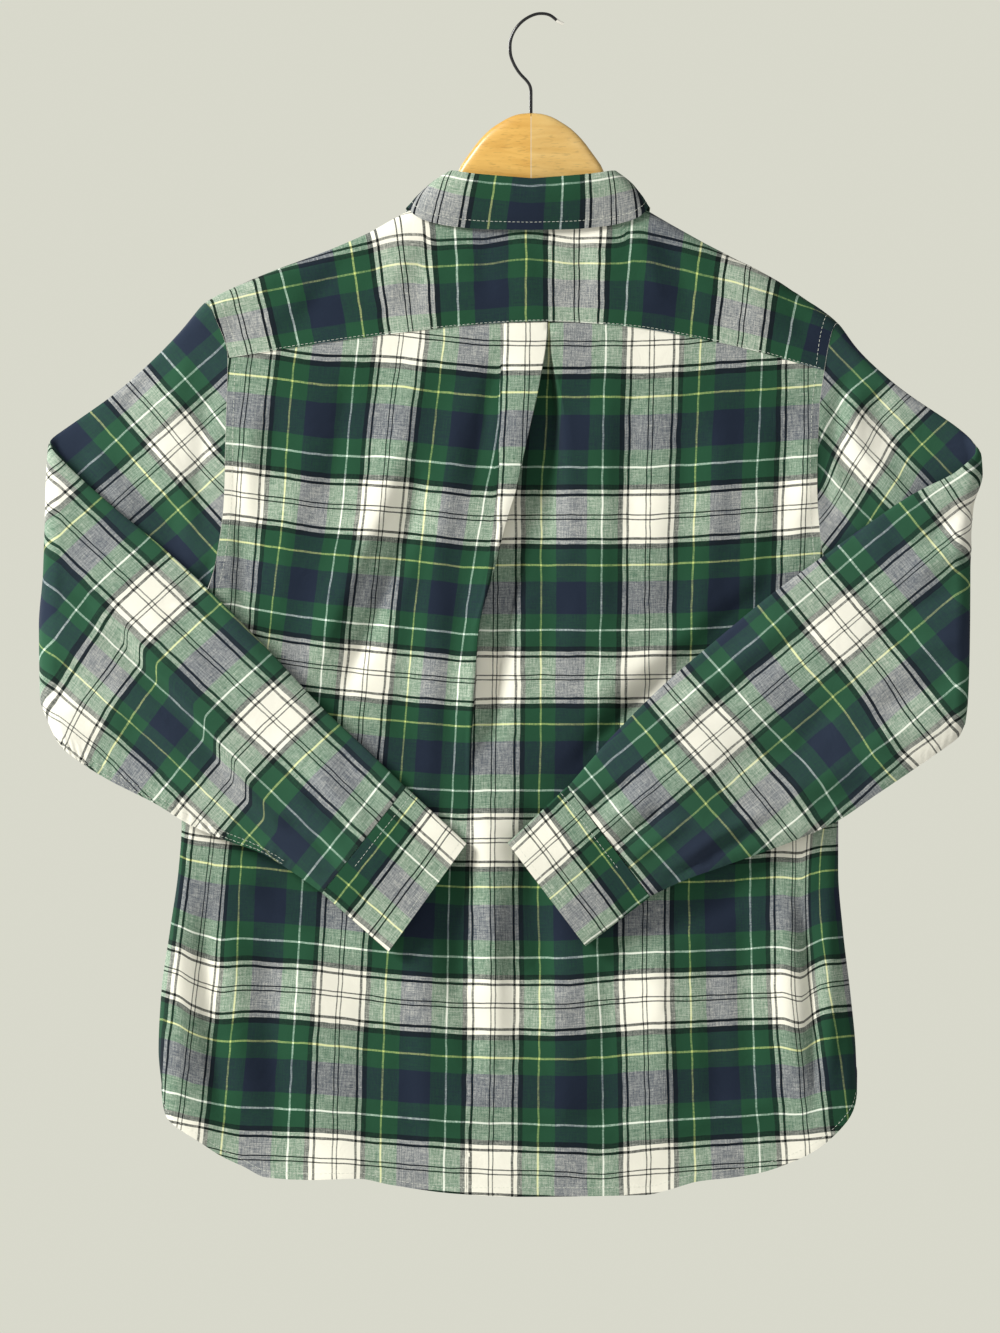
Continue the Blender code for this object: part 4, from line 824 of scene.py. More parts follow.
def makeYoke():
    half = np.append(np.radians(np.linspace(0, neck["round"], neck["columns"])), yokeNeck)
    angles = np.concatenate([-half[:0:-1], half])
    neckX, neckDown = neckline(angles)
    sides = ((-1, 0, "armholeLeft"), (1, -1, "armholeRight"))
    steps = closerAtStart(*neck["steps"])[:-1]
    downs = [seamDown(side) for side, _, _ in sides]
    ends = [float(smoothCurve(body[name])(down)) for down, (_, _, name) in zip(downs, sides)]
    frontLeft, frontRight = (
        flatPoints(end + (neckX[outer] - end) * steps, down + (neckDown[outer] - down) * steps)
        for end, down, (_, outer, _) in zip(ends, downs, sides))
    top = np.concatenate([frontLeft, flatPoints(neckX, neckDown), frontRight[::-1]])
    lowLeft, lowRight = (end + (low - end) * steps for end, low in zip(ends, neck["low"]))
    lowX = np.concatenate([lowLeft, np.interp(angles, [angles[0], angles[-1]], neck["low"]), lowRight[::-1]])
    lowDown = -downAt(lowX, yokeSeam(lowX) - yokeCheck["below"])
    share = np.linspace(0, 1, neck["rows"])[:, None]
    x = lowX + (top[:, 0] - lowX) * share
    down = lowDown + (top[:, 1] - lowDown) * share
    for side, outer, name in sides:
        gap = smoothCurve(body[name])(np.abs(down[:, outer])) - side * body["sideGap"] - x[:, outer]
        for k, pull in enumerate(smoothCurve(neck["pull"])(steps)):
            x[:, outer - side * k] += gap * pull
    up = down - lowDown
    way = np.clip(up / -lowDown, 0, 1)
    lines = [seamX + (ridgeX - seamX) * way for seamX, ridgeX in yokeCheck["threads"]]
    chart = np.stack([-betweenLines(x, lines, yokeCheck["places"], longUnit), smoothCurve(yokeCheck["up"])(up)], -1)
    overBox = ease(1 - np.abs(x - yokeCheck["box"]) / yokeCheck["boxHalf"])
    lift = yokeCheck["lap"] * (1 - ease(up / yokeCheck["lapOver"]))
    lift = lift + yokeCheck["boxLift"] * overBox * (1 - ease(up / yokeCheck["boxOver"]))
    height = ridge(x) - np.abs(down) - np.where(down > 0, farBelow, 0)  # creases only on the back
    lift = lift + creaseLift(x, height, yokeCheck["creases"])
    return clothPiece("backYoke", torso(x, down), chart, wallPlain, "cloth", "yoke", lift=lift, cloth=turnedTartan)


def frontChart(flat):
    # the threads sag a little to the sides, and sway where the cloth is creased
    x, z = flat[..., 0], flat[..., 1]
    sway = creaseLift(x, z, body["frontCreases"])
    u = (x - body["centreX"] + body["swayAcross"] * sway) / unit
    height = z - body["frontSag"] * ease(np.abs(x) / body["frontSagOver"]) + body["swayDown"] * sway
    return np.stack([u, weftChart(np.zeros_like(x), height)], -1)


placket = {"half": 17.0, "short": 1.5, "clear": 0.35, "columns": 15}


def makeFront(name, node, side):
    edge = panelSide(side)
    s = edgeColumns
    lapX = body["centreX"] - side * placket["half"]
    hemX = edge[0, 0] + (lapX - edge[0, 0]) * s
    tail = body["frontTail"] * ease((s - body["tailFrom"]) / body["tailOver"])
    bottom = flatPoints(hemX, backHem(hemX) + tail)
    bottom[0] = edge[0]
    seam = s[s < neck["yokeShare"]]
    cornerX, cornerDown = neckline(side * yokeNeck)
    endX, endDown = edge[-1, 0], downAt(edge[-1, 0], edge[-1, 1])
    along = seam / neck["yokeShare"]
    meet = math.pi - math.asin((lapX - neck["x"]) / neck["half"]) * side
    beyond = (s[s >= neck["yokeShare"]] - neck["yokeShare"]) / (1 - neck["yokeShare"])
    angles = yokeNeck + (meet - yokeNeck) * beyond
    neckX, neckDown = neckline(side * angles)
    topX = np.concatenate([endX + (cornerX - endX) * along, neckX])
    topDown = np.concatenate([endDown + (cornerDown - endDown) * along, neckDown]) + body["seam"]
    top = flatPoints(topX, ridge(topX) - (topDown - spare))
    top[0] = edge[-1]
    inside = flatPoints(lapX, bottom[-1, 1] + (top[-1, 1] - bottom[-1, 1]) * panelRows)
    flat = coons(bottom, top, edge, inside, panelRows, s)
    points = onTorso(flat, 1)
    lap = ease(1 - np.abs(points[..., 0] - lapX) / body["lapReach"])
    points[..., 1] -= side * body["lap"] * lap
    chart = frontChart(flat)
    if side > 0:
        points, chart = points[:, ::-1], chart[:, ::-1]
    return clothPiece(name, points, chart, hemmed(points), "cloth", node)


def makePlacket(front):
    rows = front["middle"].shape[0]
    across = body["centreX"] + np.linspace(-placket["half"], placket["half"], placket["columns"])
    band = np.zeros((rows, len(across), 3))
    for row, line in enumerate(front["middle"]):
        order = np.argsort(line[:, 0])
        band[row, :, 0] = across
        for axis in (1, 2):
            band[row, :, axis] = np.interp(across, line[order, 0], line[order, axis])
    band[..., 1] += (wallPlain + wallBand) / 2 + placket["clear"]
    band[-1, :, 2] -= placket["short"]
    chart = frontChart(band[..., [0, 2]])
    return clothPiece("frontPlacket", band, chart, wallBand, "band", "front_placket")


collar = {
    "x": -5.0, "half": 64.5, "backY": -12.0, "frontY": 27.0, "full": 0.45,
    "top": ((0, -130.8), (45, -127), (75, -124.8), (90, -126), (100, -132), (110, -144), (120, -158),
            (135, -177), (150, -188), (188, -193)),
    "inset": ((0, 1.5), (80, 1.7), (92, 2.4), (102, 3.4), (122, 3.4), (140, 2.2), (186, 1.5)),
    "endLap": 1.3, "lapFrom": 150, "lapOver": 25, "band": 1.6, "standTurn": 186,
    "standColumns": 149, "standRows": 10, "leafColumns": 181, "leafRows": 22, "faceTurn": 2.6,
    "leafHalf": 96.0, "opening": 168.0, "pointDown": 150.0, "roll": 4.0, "clear": 2.4, "frontClear": 4.0,
    "proud": 2.9, "turn": 150.0, "frontFrom": 80, "frontOver": 40,
    "stitchRow": 17.8, "stitchFrom": 3.5, "stitchTo": -4.5,
    # places in the check; the stripes fan out only a little, as on a collar cut almost straight
    "fan": 0.3, "leafU": 64.3, "leafShift": 3.0, "leafUnit": 1.085, "leafV": 97.0, "standU": 64, "standV": (40, 2),
    "edge": ((0, -172), (20, -171.5), (40, -169), (60, -164), (75, -159), (90, -150)),
    "rolled": ((0, 0), (0.12, 0.55), (0.35, 1), (0.65, 0.8), (1, 0)),
}


def standTop(angle):
    turn = np.sign(np.cos(angle)) * np.abs(np.cos(angle)) ** collar["full"]
    y = (collar["backY"] + collar["frontY"]) / 2 - (collar["frontY"] - collar["backY"]) / 2 * turn
    z = smoothCurve(collar["top"])(np.abs(np.degrees(angle)))
    return np.stack([collar["x"] + collar["half"] * np.sin(angle), y, z], -1)


def standAway(angle):
    across = np.sin(angle) / collar["half"]
    out = -np.cos(angle) / (collar["frontY"] - collar["backY"]) * 2
    length = np.hypot(across, out)
    return np.stack([across / length, out / length, np.zeros_like(length)], -1)


def alongRow(points):
    step = np.linalg.norm(np.diff(points, axis=0), axis=1)
    return np.concatenate([[0], np.cumsum(step)])


def makeStand():
    angles = np.radians(np.linspace(-collar["standTurn"], collar["standTurn"], collar["standColumns"]))
    turned = np.abs(np.degrees(angles))
    base = torso(*neckline(angles, smoothCurve(collar["inset"])(turned)))
    top = standTop(angles)
    top[:, 2] -= collar["band"] / 2
    share = np.linspace(0, 1, collar["standRows"])[:, None, None]
    middle = base + (top - base) * share
    lap = ease((turned - collar["lapFrom"]) / collar["lapOver"])
    middle[..., 1] += collar["endLap"] * np.where(angles < 0, lap, -lap)
    length = alongRow(middle[len(share) // 2])
    u = (length - length[-1] / 2) / unit + collar["standU"]
    chart = flatPoints(u, np.linspace(*collar["standV"], len(share))[:, None])
    return clothPiece("collarStand", middle, chart, wallBand, "band", "collar_stand")


def makeLeaf():
    degrees = np.linspace(-collar["turn"], collar["turn"], collar["leafColumns"])
    lowAngle = np.radians(degrees)
    topAngle = lowAngle * collar["opening"] / collar["turn"]
    away = standAway(topAngle)
    front = ease((np.abs(degrees) - collar["frontFrom"]) / collar["frontOver"])
    clear = collar["clear"] + (collar["frontClear"] - collar["clear"]) * front
    top = standTop(topAngle) + away * clear[:, None]
    lowX = neck["x"] + collar["leafHalf"] * np.sin(lowAngle)
    backDown = -downAt(lowX, smoothCurve(collar["edge"])(np.abs(degrees)))
    lowDown = np.where(np.abs(degrees) < 90, backDown, -collar["pointDown"] * np.cos(lowAngle))
    step = 0.5
    across = torso(lowX + step, lowDown) - torso(lowX - step, lowDown)
    down = torso(lowX, lowDown + step) - torso(lowX, lowDown - step)
    raised = np.cross(down, across)
    raised /= np.linalg.norm(raised, axis=1, keepdims=True)
    low = torso(lowX, lowDown) - raised * collar["proud"]
    way = np.linspace(0, 1, collar["leafRows"])
    rolled = collar["roll"] * smoothCurve(collar["rolled"])(way)
    middle = top + (low - top) * way[:, None, None] + away * rolled[:, None, None]
    length = np.array([alongRow(row) for row in middle])
    fromCentre = length - length[:, len(degrees) // 2, None]
    fromCentre = collar["fan"] * fromCentre[len(way) // 2] + (1 - collar["fan"]) * fromCentre
    drop = np.linalg.norm(middle - middle[:1], axis=-1)
    u = collar["leafU"] + (fromCentre + collar["leafShift"]) / collar["leafUnit"]
    chart = np.stack([u, collar["leafV"] - drop / longUnit], -1)
    return clothPiece("collarLeaf", middle, chart, wallBand, "band", "collar_leaf", cloth=turnedTartan)


# sleeves, folded forward at the elbow
sleeves = {
    "left": {
        "side": -1, "restX": -396.0, "armhole": "armholeLeft",
        # top and lower edge (travel from the elbow fold, height), middle y, half depth
        "stations": (
            (-129, -230.5, -107, -500, 7, 9), (-112, -247, -94, -512, 6.5, 9), (-92, -274, -77, -526, 5.5, 8),
            (-70, -294, -58, -541, 4.5, 7), (-45, -312, -37, -556, 3.5, 5.5), (-22, -328, -18, -569, 3, 4.6),
            (-9, -337, -8, -578, 3, 4.5), (0, -343, 1, -584, 3, 4.5), (9, -351, 10, -590, -12, 4.5),
            (24, -366, 20, -598, -12, 4.6), (52, -391, 44, -611, -11.8, 5.2), (99, -430, 85, -630, -11.6, 5.5),
            (140, -468, 116, -648, -12, 5.5), (182, -511, 145, -660, -13, 5.4),
            (223, -555, 173, -670, -14.4, 5.2), (258, -588, 198, -685, -16, 4.8),
            (289.2, -618, 222.2, -702, -17.8, 4.4),
        ),
        "fold": (  # the elbow's outer edge: height, across
            (-342, -396), (-392, -396), (-444, -397), (-490, -400.5), (-546, -400.5), (-562, -396),
            (-585, -387), (-600, -381),
        ),
        # forearm: a point on its upper edge, directions along it and in from it, chart places along both
        "fore": {
            "at": (-296.8, -429.6), "along": (0.726, -0.688), "into": (-0.688, -0.726),
            "u": ((-240, -256.8), (-195, -218.8), (-146, -166.75), (-110, -128.4), (-68.1, -90.05),
                  (-18.7, -38), (22.7, 0), (59.4, 38.35), (116.5, 90.4), (155.5, 128.4), (195.1, 166.75),
                  (248.9, 218.8), (290, 256.8)),
            "v": ((-200, 250), (1.5, 38.35), (20.5, 18.5), (39, 0), (59, -18.5), (83, -38), (120, -90.05),
                  (157, -128.4), (300, -270)),
            "lean": ((0, 0), (60, -4), (200, -4)),
            # the threads jump along where a fold of the cloth lies over itself
            "kink": {
                "line": ((-40, 58), (0, 64), (26, 72), (46, 75), (74, 77), (109, 80), (135, 88), (155, 91),
                         (173, 95), (194, 97), (240, 100)),
                "step": 10.5, "over": 13.0, "cuffLean": 0.09, "cuffFrom": 190, "cuffOver": 50,
                "from": -10, "fadeIn": 45,
                # past the jump the threads lean by this much, and less toward the cuff
                "lean": 13, "leanDown": 75, "less": ((4, 0, 45), (6, 60, 60)),
            },
            "spots": (),
        },
        "upper": {
            "at": (-259.2, -269.6), "along": (-0.747, -0.665), "into": (0.665, -0.747),
            "u": ((-100, -166.75), (32, -38), (68, 0), (106, 38.35), (160, 90.4), (260, 190)),
            "v": ((-60, -99), (0, -38), (21.5, -18.5), (37, 0), (56, 18.5), (75, 38.35), (128, 90.4), (300, 262)),
            "lean": ((0, 0), (300, 0)), "spots": ((40, 60, 30, 26, 3),),
        },
        "creases": (
            # the fold of the forearm that lies over itself, then the dip below it
            (3.2, 20, 2.6, (-342, -474), (-315, -516), (-296, -536), (-273, -563), (-259, -586), (-237, -618),
             (-222, -634), (-200, -658)),
            (-3.0, 2.2, 15, (-346, -486), (-317, -524), (-298, -544), (-277, -568), (-262, -592), (-240, -624),
             (-226, -640), (-204, -662)),
            (-2.0, 9, 7, (-312, -464), (-284, -492), (-252, -528), (-228, -556)),
            (1.8, 8, 10, (-268, -470), (-238, -500), (-206, -534), (-176, -570)),
            (-2.2, 8, 6, (-392, -448), (-372, -462), (-350, -480)),
            (2.0, 8, 9, (-396, -486), (-370, -494), (-342, -502)),
            (-2.4, 7, 9, (-398, -520), (-368, -528), (-334, -542)),
            (2.0, 8, 8, (-394, -552), (-360, -556), (-322, -572)),
            (-2.0, 8, 8, (-384, -580), (-350, -584), (-310, -598), (-272, -622)),
            (1.8, 9, 8, (-360, -602), (-318, -618), (-272, -640)),
            (-1.8, 7, 9, (-300, -640), (-262, -648), (-222, -672)),
            (-3.2, 6, 4, (-143, -664), (-166, -642), (-192, -618)),
            (2.4, 6, 6, (-134, -652), (-158, -630), (-186, -600)),
            (-2.8, 5, 6, (-156, -681), (-182, -658), (-212, -640)),
            (2.0, 7, 6, (-164, -690), (-196, -672), (-232, -656)),
            (-1.8, 7, 7, (-122, -634), (-144, -612), (-166, -588)),
            # upper arm
            (-2.2, 8, 10, (-352, -352), (-322, -374), (-296, -404), (-284, -440)),
            (2.2, 10, 8, (-330, -326), (-304, -350), (-282, -386), (-276, -430)),
            (-2.0, 8, 8, (-258, -286), (-268, -326), (-272, -372), (-268, -420)),
            (1.8, 8, 8, (-276, -262), (-290, -298), (-296, -340)),
            (-1.6, 7, 9, (-304, -268), (-320, -300), (-336, -326)),
            (1.8, 8, 8, (-366, -346), (-344, -372), (-322, -410)),
            (-2.4, 6, 8, (-256, -430), (-270, -456), (-290, -474)),
        ),
    },
    "right": {
        "side": 1, "restX": 345.0, "armhole": "armholeRight",
        "stations": (
            (-106, -247, -90.3, -500, 6.5, 9), (-94, -262, -80, -508, 6, 9), (-80, -284, -66, -519, 5, 8),
            (-60, -300, -50, -532, 4.2, 6.8), (-37, -315, -31, -545, 3.4, 5.4), (-18, -329, -16, -556, 3, 4.6),
            (-8, -338, -8, -563, 3, 4.5), (0, -346, 0, -571, 3, 4.5), (8, -354, 9, -580, -12, 4.5),
            (20, -366, 20, -590, -12, 4.6), (46, -382, 42, -604, -11.8, 5.2), (84, -409, 72, -623, -11.6, 5.5),
            (120, -435, 106, -645, -12, 5.5), (158, -463, 137, -659, -13, 5.5),
            (204, -501, 170, -671, -14.4, 5.4), (246, -537, 198, -681, -16.6, 5.2),
            (286, -577, 229, -692, -18.4, 4.8), (321.7, -617.6, 256, -704.6, -19.4, 4.4),
        ),
        "fold": (
            (-342, 353), (-353, 357), (-366, 357), (-394, 348.5), (-433, 345.5), (-546, 345), (-574, 343),
            (-592, 335),
        ),
        "fore": {
            "at": (225.6, -433.6), "along": (-0.766, -0.642), "into": (0.642, -0.766),
            "u": ((-250, -256.8), (-150, -166.75), (-109.4, -128.4), (-75.1, -90.05), (-16.6, -38), (21.1, 0),
                  (63.9, 38.35), (120.7, 90.4), (161, 128.4), (196.4, 166.75), (252.6, 218.8), (294, 256.8)),
            "v": ((-200, -250), (0, -55), (16.6, -38), (38, -18.5), (55.5, 0), (72, 18.5), (92, 38.35),
                  (148, 90.4), (186, 128.4), (300, 240)),
            "lean": ((0, 0), (300, 0)),
            # along, in, reach along, reach in, how far the threads move along
            "spots": ((45, 150, 34, 34, 7), (116, 127, 30, 36, -6), (150, 70, 26, 30, -3), (230, 60, 26, 40, 5),
                      (80, 60, 26, 30, 2.5)),
        },
        "upper": {
            "at": (239.2, -268), "along": (0.69, -0.724), "into": (-0.724, -0.69),
            "u": ((-100, -170), (33, -38), (65, 0), (101, 38.35), (152, 90.4), (260, 200)),
            "v": ((-60, 106), (3, 38.35), (22, 18.5), (38.5, 0), (56, -18.5), (75, -38), (128, -90), (300, -266)),
            "lean": ((0, 0), (10, 0), (40, 7), (120, 24), (300, 50)),
            "spots": ((20, 50, 26, 40, -7), (66, 90, 30, 24, 6), (40, 118, 30, 22, 8)),
        },
        "creases": (
            (-2.4, 8, 7, (352, -388), (330, -402), (306, -424)), (2.4, 8, 10, (350, -420), (322, -434), (292, -452)),
            (-2.2, 9, 8, (346, -462), (318, -466), (286, -484), (258, -498)),
            (2.0, 9, 9, (344, -500), (312, -506), (276, -522)), (-2.2, 8, 10, (344, -534), (306, -540), (262, -558)),
            (1.8, 9, 8, (336, -568), (296, -572), (250, -590)), (-2.2, 12, 10, (250, -532), (206, -590), (126, -600)),
            (2.2, 12, 10, (214, -470), (170, -508), (124, -548), (84, -580)),
            (-1.8, 9, 9, (238, -470), (198, -504), (150, -542), (110, -572)),
            (-3.4, 5, 7, (92, -704), (118, -684), (146, -664), (186, -644)),
            (2.6, 8, 7, (104, -690), (130, -668), (160, -648), (200, -628)),
            (-3.0, 5, 5, (56, -668), (80, -650), (106, -632)), (2.4, 6, 6, (66, -680), (92, -662), (122, -642)),
            (-2.2, 6, 6, (36, -640), (58, -624), (84, -608)), (2.0, 7, 7, (44, -654), (68, -638), (96, -622)),
            (1.8, 9, 9, (262, -590), (226, -612), (186, -626)), (-1.8, 8, 8, (278, -610), (240, -628), (206, -640)),
            # upper arm, where the cloth swirls in from the armhole
            (-3.6, 5, 9, (250, -280), (241, -308), (238, -336), (246, -364), (266, -384), (292, -398)),
            (3.0, 8, 6, (262, -284), (253, -310), (251, -336), (260, -356), (282, -372), (306, -384)),
            (-2.0, 7, 9, (280, -290), (272, -318), (280, -344), (306, -360)),
            (2.0, 8, 8, (244, -262), (262, -276), (290, -296), (314, -322)),
            (-2.2, 7, 7, (232, -330), (230, -372), (236, -410)),
            (1.8, 7, 7, (242, -400), (262, -416), (286, -430)),
        ),
    },
}
elbow = {
    "depth": 4.5, "radius": 7.5, "y": -4.5, "fade": 55.0, "cloth": 1.2,
    "clearOfArmhole": 4, "from": 5, "turn": 7, "to": 9,  # stations along the sleeve
}
sleeveCloth = {
    "columns": 141, "rows": (41, 49, 110), "crowding": 0.85, "proud": 1.4, "underarmFrom": 0.8, "underarmOver": 0.2,
    "plump": 0.4, "creaseStrength": 1.25, "edgeFade": 0.05,
    # the felled seam draws the cloth up into small puckers along the lower edge
    "pucker": 0.95, "hiddenPucker": 0.2, "puckerLong": 1.3, "puckerDrift": 13.0, "puckerWander": 1.6,
    "puckerAt": 0.975, "puckerHalf": 0.035, "puckerFrom": 7.5, "puckerTo": 15, "stitchFrom": 8.2, "stitchTo": 14.7,
}


def planarChart(x, z, plan):
    dx, dz = x - plan["at"][0], z - plan["at"][1]
    s, t = (dx * plan[way][0] + dz * plan[way][1] for way in ("along", "into"))
    shift = smoothCurve(plan["lean"])(t)
    for s0, t0, reachS, reachT, amount in plan["spots"]:
        shift = shift + amount * np.exp(-(((s - s0) / reachS) ** 2) - ((t - t0) / reachT) ** 2)
    if "kink" in plan:
        kink = plan["kink"]
        past = t - smoothCurve(kink["line"])(s) + kink["over"] / 2
        lean = kink["lean"]
        for less, start, over in kink["less"]:
            lean = lean - less * ease((s - start) / over)
        slope = lean / kink["leanDown"]
        moved = shift + kink["step"] * ease((s - kink["from"]) / kink["fadeIn"]) * ease(past / kink["over"])
        moved = moved + slope * np.maximum(past - kink["over"], 0)
        nearCuff = ease((s - kink["cuffFrom"]) / kink["cuffOver"])
        shift = moved * (1 - nearCuff) + kink["cuffLean"] * t * nearCuff
    return np.stack([readOff(plan["v"], t), readOff(plan["u"], s - shift)], -1)


def sleeveRing(arm):
    # from the underarm up the back of the armhole, over the ridge and down its front
    armhole, side = body[arm["armhole"]], arm["side"]
    deepest = max(row[0] for row in armhole)
    way = np.linspace(-1, 1, sleeveCloth["columns"])
    down = deepest * np.sign(way) * np.abs(way) ** sleeveCloth["crowding"]
    ring = torso(smoothCurve(armhole)(np.abs(down)) + side * body["seam"], down)
    underarm = ease((np.abs(down) / deepest - sleeveCloth["underarmFrom"]) / sleeveCloth["underarmOver"])
    ring[:, 0] += side * sleeveCloth["proud"] * underarm
    return ring


def bendSleeve(arm, travel, height, level, offset):
    edge = elbow["depth"] + elbow["cloth"] / 2 + elbow["radius"]
    side, radius = arm["side"], elbow["radius"]
    flat = np.abs(travel) - edge + radius * math.pi / 2
    path = np.sign(travel) * np.maximum(flat, 0)
    angle = np.clip(path / radius, -math.pi / 2, math.pi / 2)
    bend = radius - offset
    out = edge - bend * np.cos(angle) + np.maximum(flat - radius * math.pi / 2, 0)
    turning = np.abs(angle) < math.pi / 2 - 1e-6
    y = np.where(turning, elbow["y"] - bend * np.sin(angle), level + np.sign(travel) * offset)
    wave = (smoothCurve(arm["fold"])(height) - arm["restX"]) * np.exp(-np.abs(travel) / elbow["fade"])
    return np.stack([arm["restX"] + wave - side * out, y, height], axis=-1)


def makeSleeve(name, node, arm):
    table = np.array(arm["stations"], float)
    places, fold = np.arange(len(table)), elbow["turn"]
    ends = 0, elbow["from"], elbow["to"], len(table) - 1
    spans = [np.linspace(*span) for span in zip(ends, ends[1:], sleeveCloth["rows"])]
    dense = np.concatenate([spans[0][:-1], spans[1][:-1], spans[2]])
    columns = [curveThrough(places, column)(dense) for column in table.T]
    parts = slice(fold + 1), slice(fold + 1, None)  # upper arm, then forearm
    inner, outer = (np.interp(dense, places[part], table[part, 4]) for part in parts)
    columns[4] = np.where(dense < fold + 0.5, inner, outer)
    ring = sleeveRing(arm)
    top, low = ring[:, 2].max(), ring[:, 2].min()
    share = (top - ring[:, 2]) / (top - low)
    over = int(np.argmin(share))
    before = np.arange(len(ring)) <= over
    face = np.where(before, 1.0, -1.0)
    face[[0, over, -1]] = 0
    share[[0, -1]] = 1
    plump = (4 * share * (1 - share)) ** sleeveCloth["plump"] * face
    rows, flatX = [], []
    for at, topTravel, topZ, lowTravel, lowZ, level, depth in zip(dense, *columns):
        travel = topTravel + (lowTravel - topTravel) * share
        height = topZ + (lowZ - topZ) * share
        tube = bendSleeve(arm, travel, height, level, depth * plump)
        weight = ease(at / elbow["clearOfArmhole"])
        rows.append(ring * (1 - weight) + tube * weight)
        reach = travel * weight - np.abs(ring[:, 0] - arm["restX"]) * (1 - weight)
        flatX.append(arm["restX"] - arm["side"] * reach)
    middle, flatX, dense = np.array(rows), np.array(flatX), dense[:, None]
    x, z = middle[..., 0], middle[..., 2]
    fore = planarChart(flatX, z, arm["fore"])  # the face that shows on the forearm, and on round the elbow
    upper = planarChart(x, z, arm["upper"])  # the face that shows on the upper arm
    beyond = dense > fold
    # the forearm's hidden face goes on from its upper edge
    edge = fore[:, over:over + 1]
    hidden = np.stack([2 * edge[..., 0] - fore[..., 0], fore[..., 1]], -1)
    # round the shoulder the front face takes over from the back
    shift = upper[:, over:over + 1] - edge
    shift = shift - np.round(shift / check["chart"]) * check["chart"]
    taken = fore + shift * np.where(beyond, 0, 1 - ease(dense / fold))[..., None]
    chart = np.where(before[:, None], np.where(beyond[..., None], hidden, upper), taken)
    shown = np.where(beyond, face < 0, face > 0) * ease((1 - share) / sleeveCloth["edgeFade"])
    shown = shown * ease(share / sleeveCloth["edgeFade"])
    lift = creaseLift(x, z, arm["creases"]) * shown
    length = np.cumsum(np.linalg.norm(np.diff(middle[:, -4], axis=0, prepend=middle[:1, -4]), axis=1))
    drift = sleeveCloth["puckerWander"] * np.sin(length / sleeveCloth["puckerDrift"])
    wave = np.sin(length / sleeveCloth["puckerLong"] + drift)[:, None]
    pucker = wave * ease(1 - np.abs(share - sleeveCloth["puckerAt"]) / sleeveCloth["puckerHalf"])
    onForearm = (dense > sleeveCloth["puckerFrom"]) & (dense < sleeveCloth["puckerTo"])
    seamShows = onForearm & (face < 0) & (arm["side"] < 0)
    pucker = pucker * np.where(seamShows, sleeveCloth["pucker"], sleeveCloth["hiddenPucker"])
    lift = (sleeveCloth["creaseStrength"] * lift + pucker) * -arm["side"]
    made = clothPiece(name, middle, chart, wallPlain, "cloth", node, closed=True, lift=lift, cloth=paintedLightTartan)
    return {**made, "share": share, "face": face, "dense": dense[:, 0]}


cuffs = {
    "start": 0.68 * math.pi, "lap": 0.07, "clear": 0.008, "square": 0.6, "depth": 3.9, "band": 1.6, "apart": 0.5,
    "around": 97, "rows": 26,
    "overBefore": 0.35, "overLong": 0.4,  # where the button end climbs over the other, as angles
    "left": {
        "edges": (-107, -618, -58.4, -663.2, -173.6, -701.8, -120, -748.8), "y": (-17.8, -19.0),
        "u": ((0, 52), (0.19, 38.35), (0.43, 18.5), (0.735, 0), (1, -15.2)),
        "v": ((0, 1), (107, -109)),
    },
    "right": {
        "edges": (23, -617.6, -24.8, -663, 88.8, -704.8, 36.8, -744.4), "y": (-19.4, -20.6),
        "u": ((0, 50), (0.157, 38.35), (0.455, 18.5), (0.697, 0), (1, -15.2)),
        "v": ((0, -25.5), (109, 92)),
    },
}


def makeCuff(name, node, cuff):
    (topSeam, topEnd), (lowSeam, lowEnd) = np.array(cuff["edges"], float).reshape(2, 2, 2)
    turn = 2 * math.pi
    angles = cuffs["start"] + np.linspace(0, turn * (1 + cuffs["lap"]), cuffs["around"])
    share = (1 - np.cos(angles)) / 2
    plump = np.sign(np.sin(angles)) * np.abs(np.sin(angles)) ** cuffs["square"]
    over = ease((angles - cuffs["start"] - turn + cuffs["overBefore"]) / cuffs["overLong"])
    ways = np.linspace(cuffs["clear"], 1, cuffs["rows"])
    rows = []
    for way in ways:
        top = topSeam + (topEnd - topSeam) * way
        low = lowSeam + (lowEnd - lowSeam) * way
        flat = top + (low - top) * share[:, None]
        y = cuff["y"][0] + (cuff["y"][1] - cuff["y"][0]) * way + cuffs["depth"] * plump
        rows.append(np.column_stack([flat[:, 0], y + (cuffs["band"] + cuffs["apart"]) * over, flat[:, 1]]))
    # the check runs down the face that shows, then on round the upper edge
    girth = share * np.linalg.norm(lowSeam - topSeam) * np.where(np.sin(angles) < 0, 1, -1)
    (start, v), (end, lastV) = cuff["v"]
    chart = flatPoints(v + girth * ((lastV - v) / (end - start)), readOff(cuff["u"], ways)[:, None])
    return clothPiece(name, np.array(rows), chart, wallBand, "band", node)


slit = {
    "rows": 40, "columns": 9, "from": 50, "to": 3, "across": (0.62, 0.8), "proud": 1.5, "half": 10, "long": 125,
    "wall": 0.8,
}


def laySleevePlacket(name, node, sleeve):
    # a strip of the sleeve's hidden face above the cuff, moved out
    count = len(sleeve["dense"])
    rows = np.linspace(count - slit["from"], count - slit["to"], slit["rows"]).astype(int)
    hidden = [k for k in range(len(sleeve["face"])) if sleeve["face"][k] > 0]
    order = sorted(hidden, key=lambda k: sleeve["share"][k])
    spots = np.linspace(*slit["across"], slit["columns"])
    strip = np.array([[np.interp(spots, sleeve["share"][order], sleeve["middle"][row][order, axis])
                       for axis in range(3)] for row in rows]).transpose(0, 2, 1)
    strip[..., 1] += slit["proud"]
    across = np.linspace(-slit["half"], slit["half"], len(spots))
    chart = flatPoints(across, np.linspace(0, slit["long"], len(rows))[:, None])
    return clothPiece(name, strip, chart, slit["wall"], "band", node)


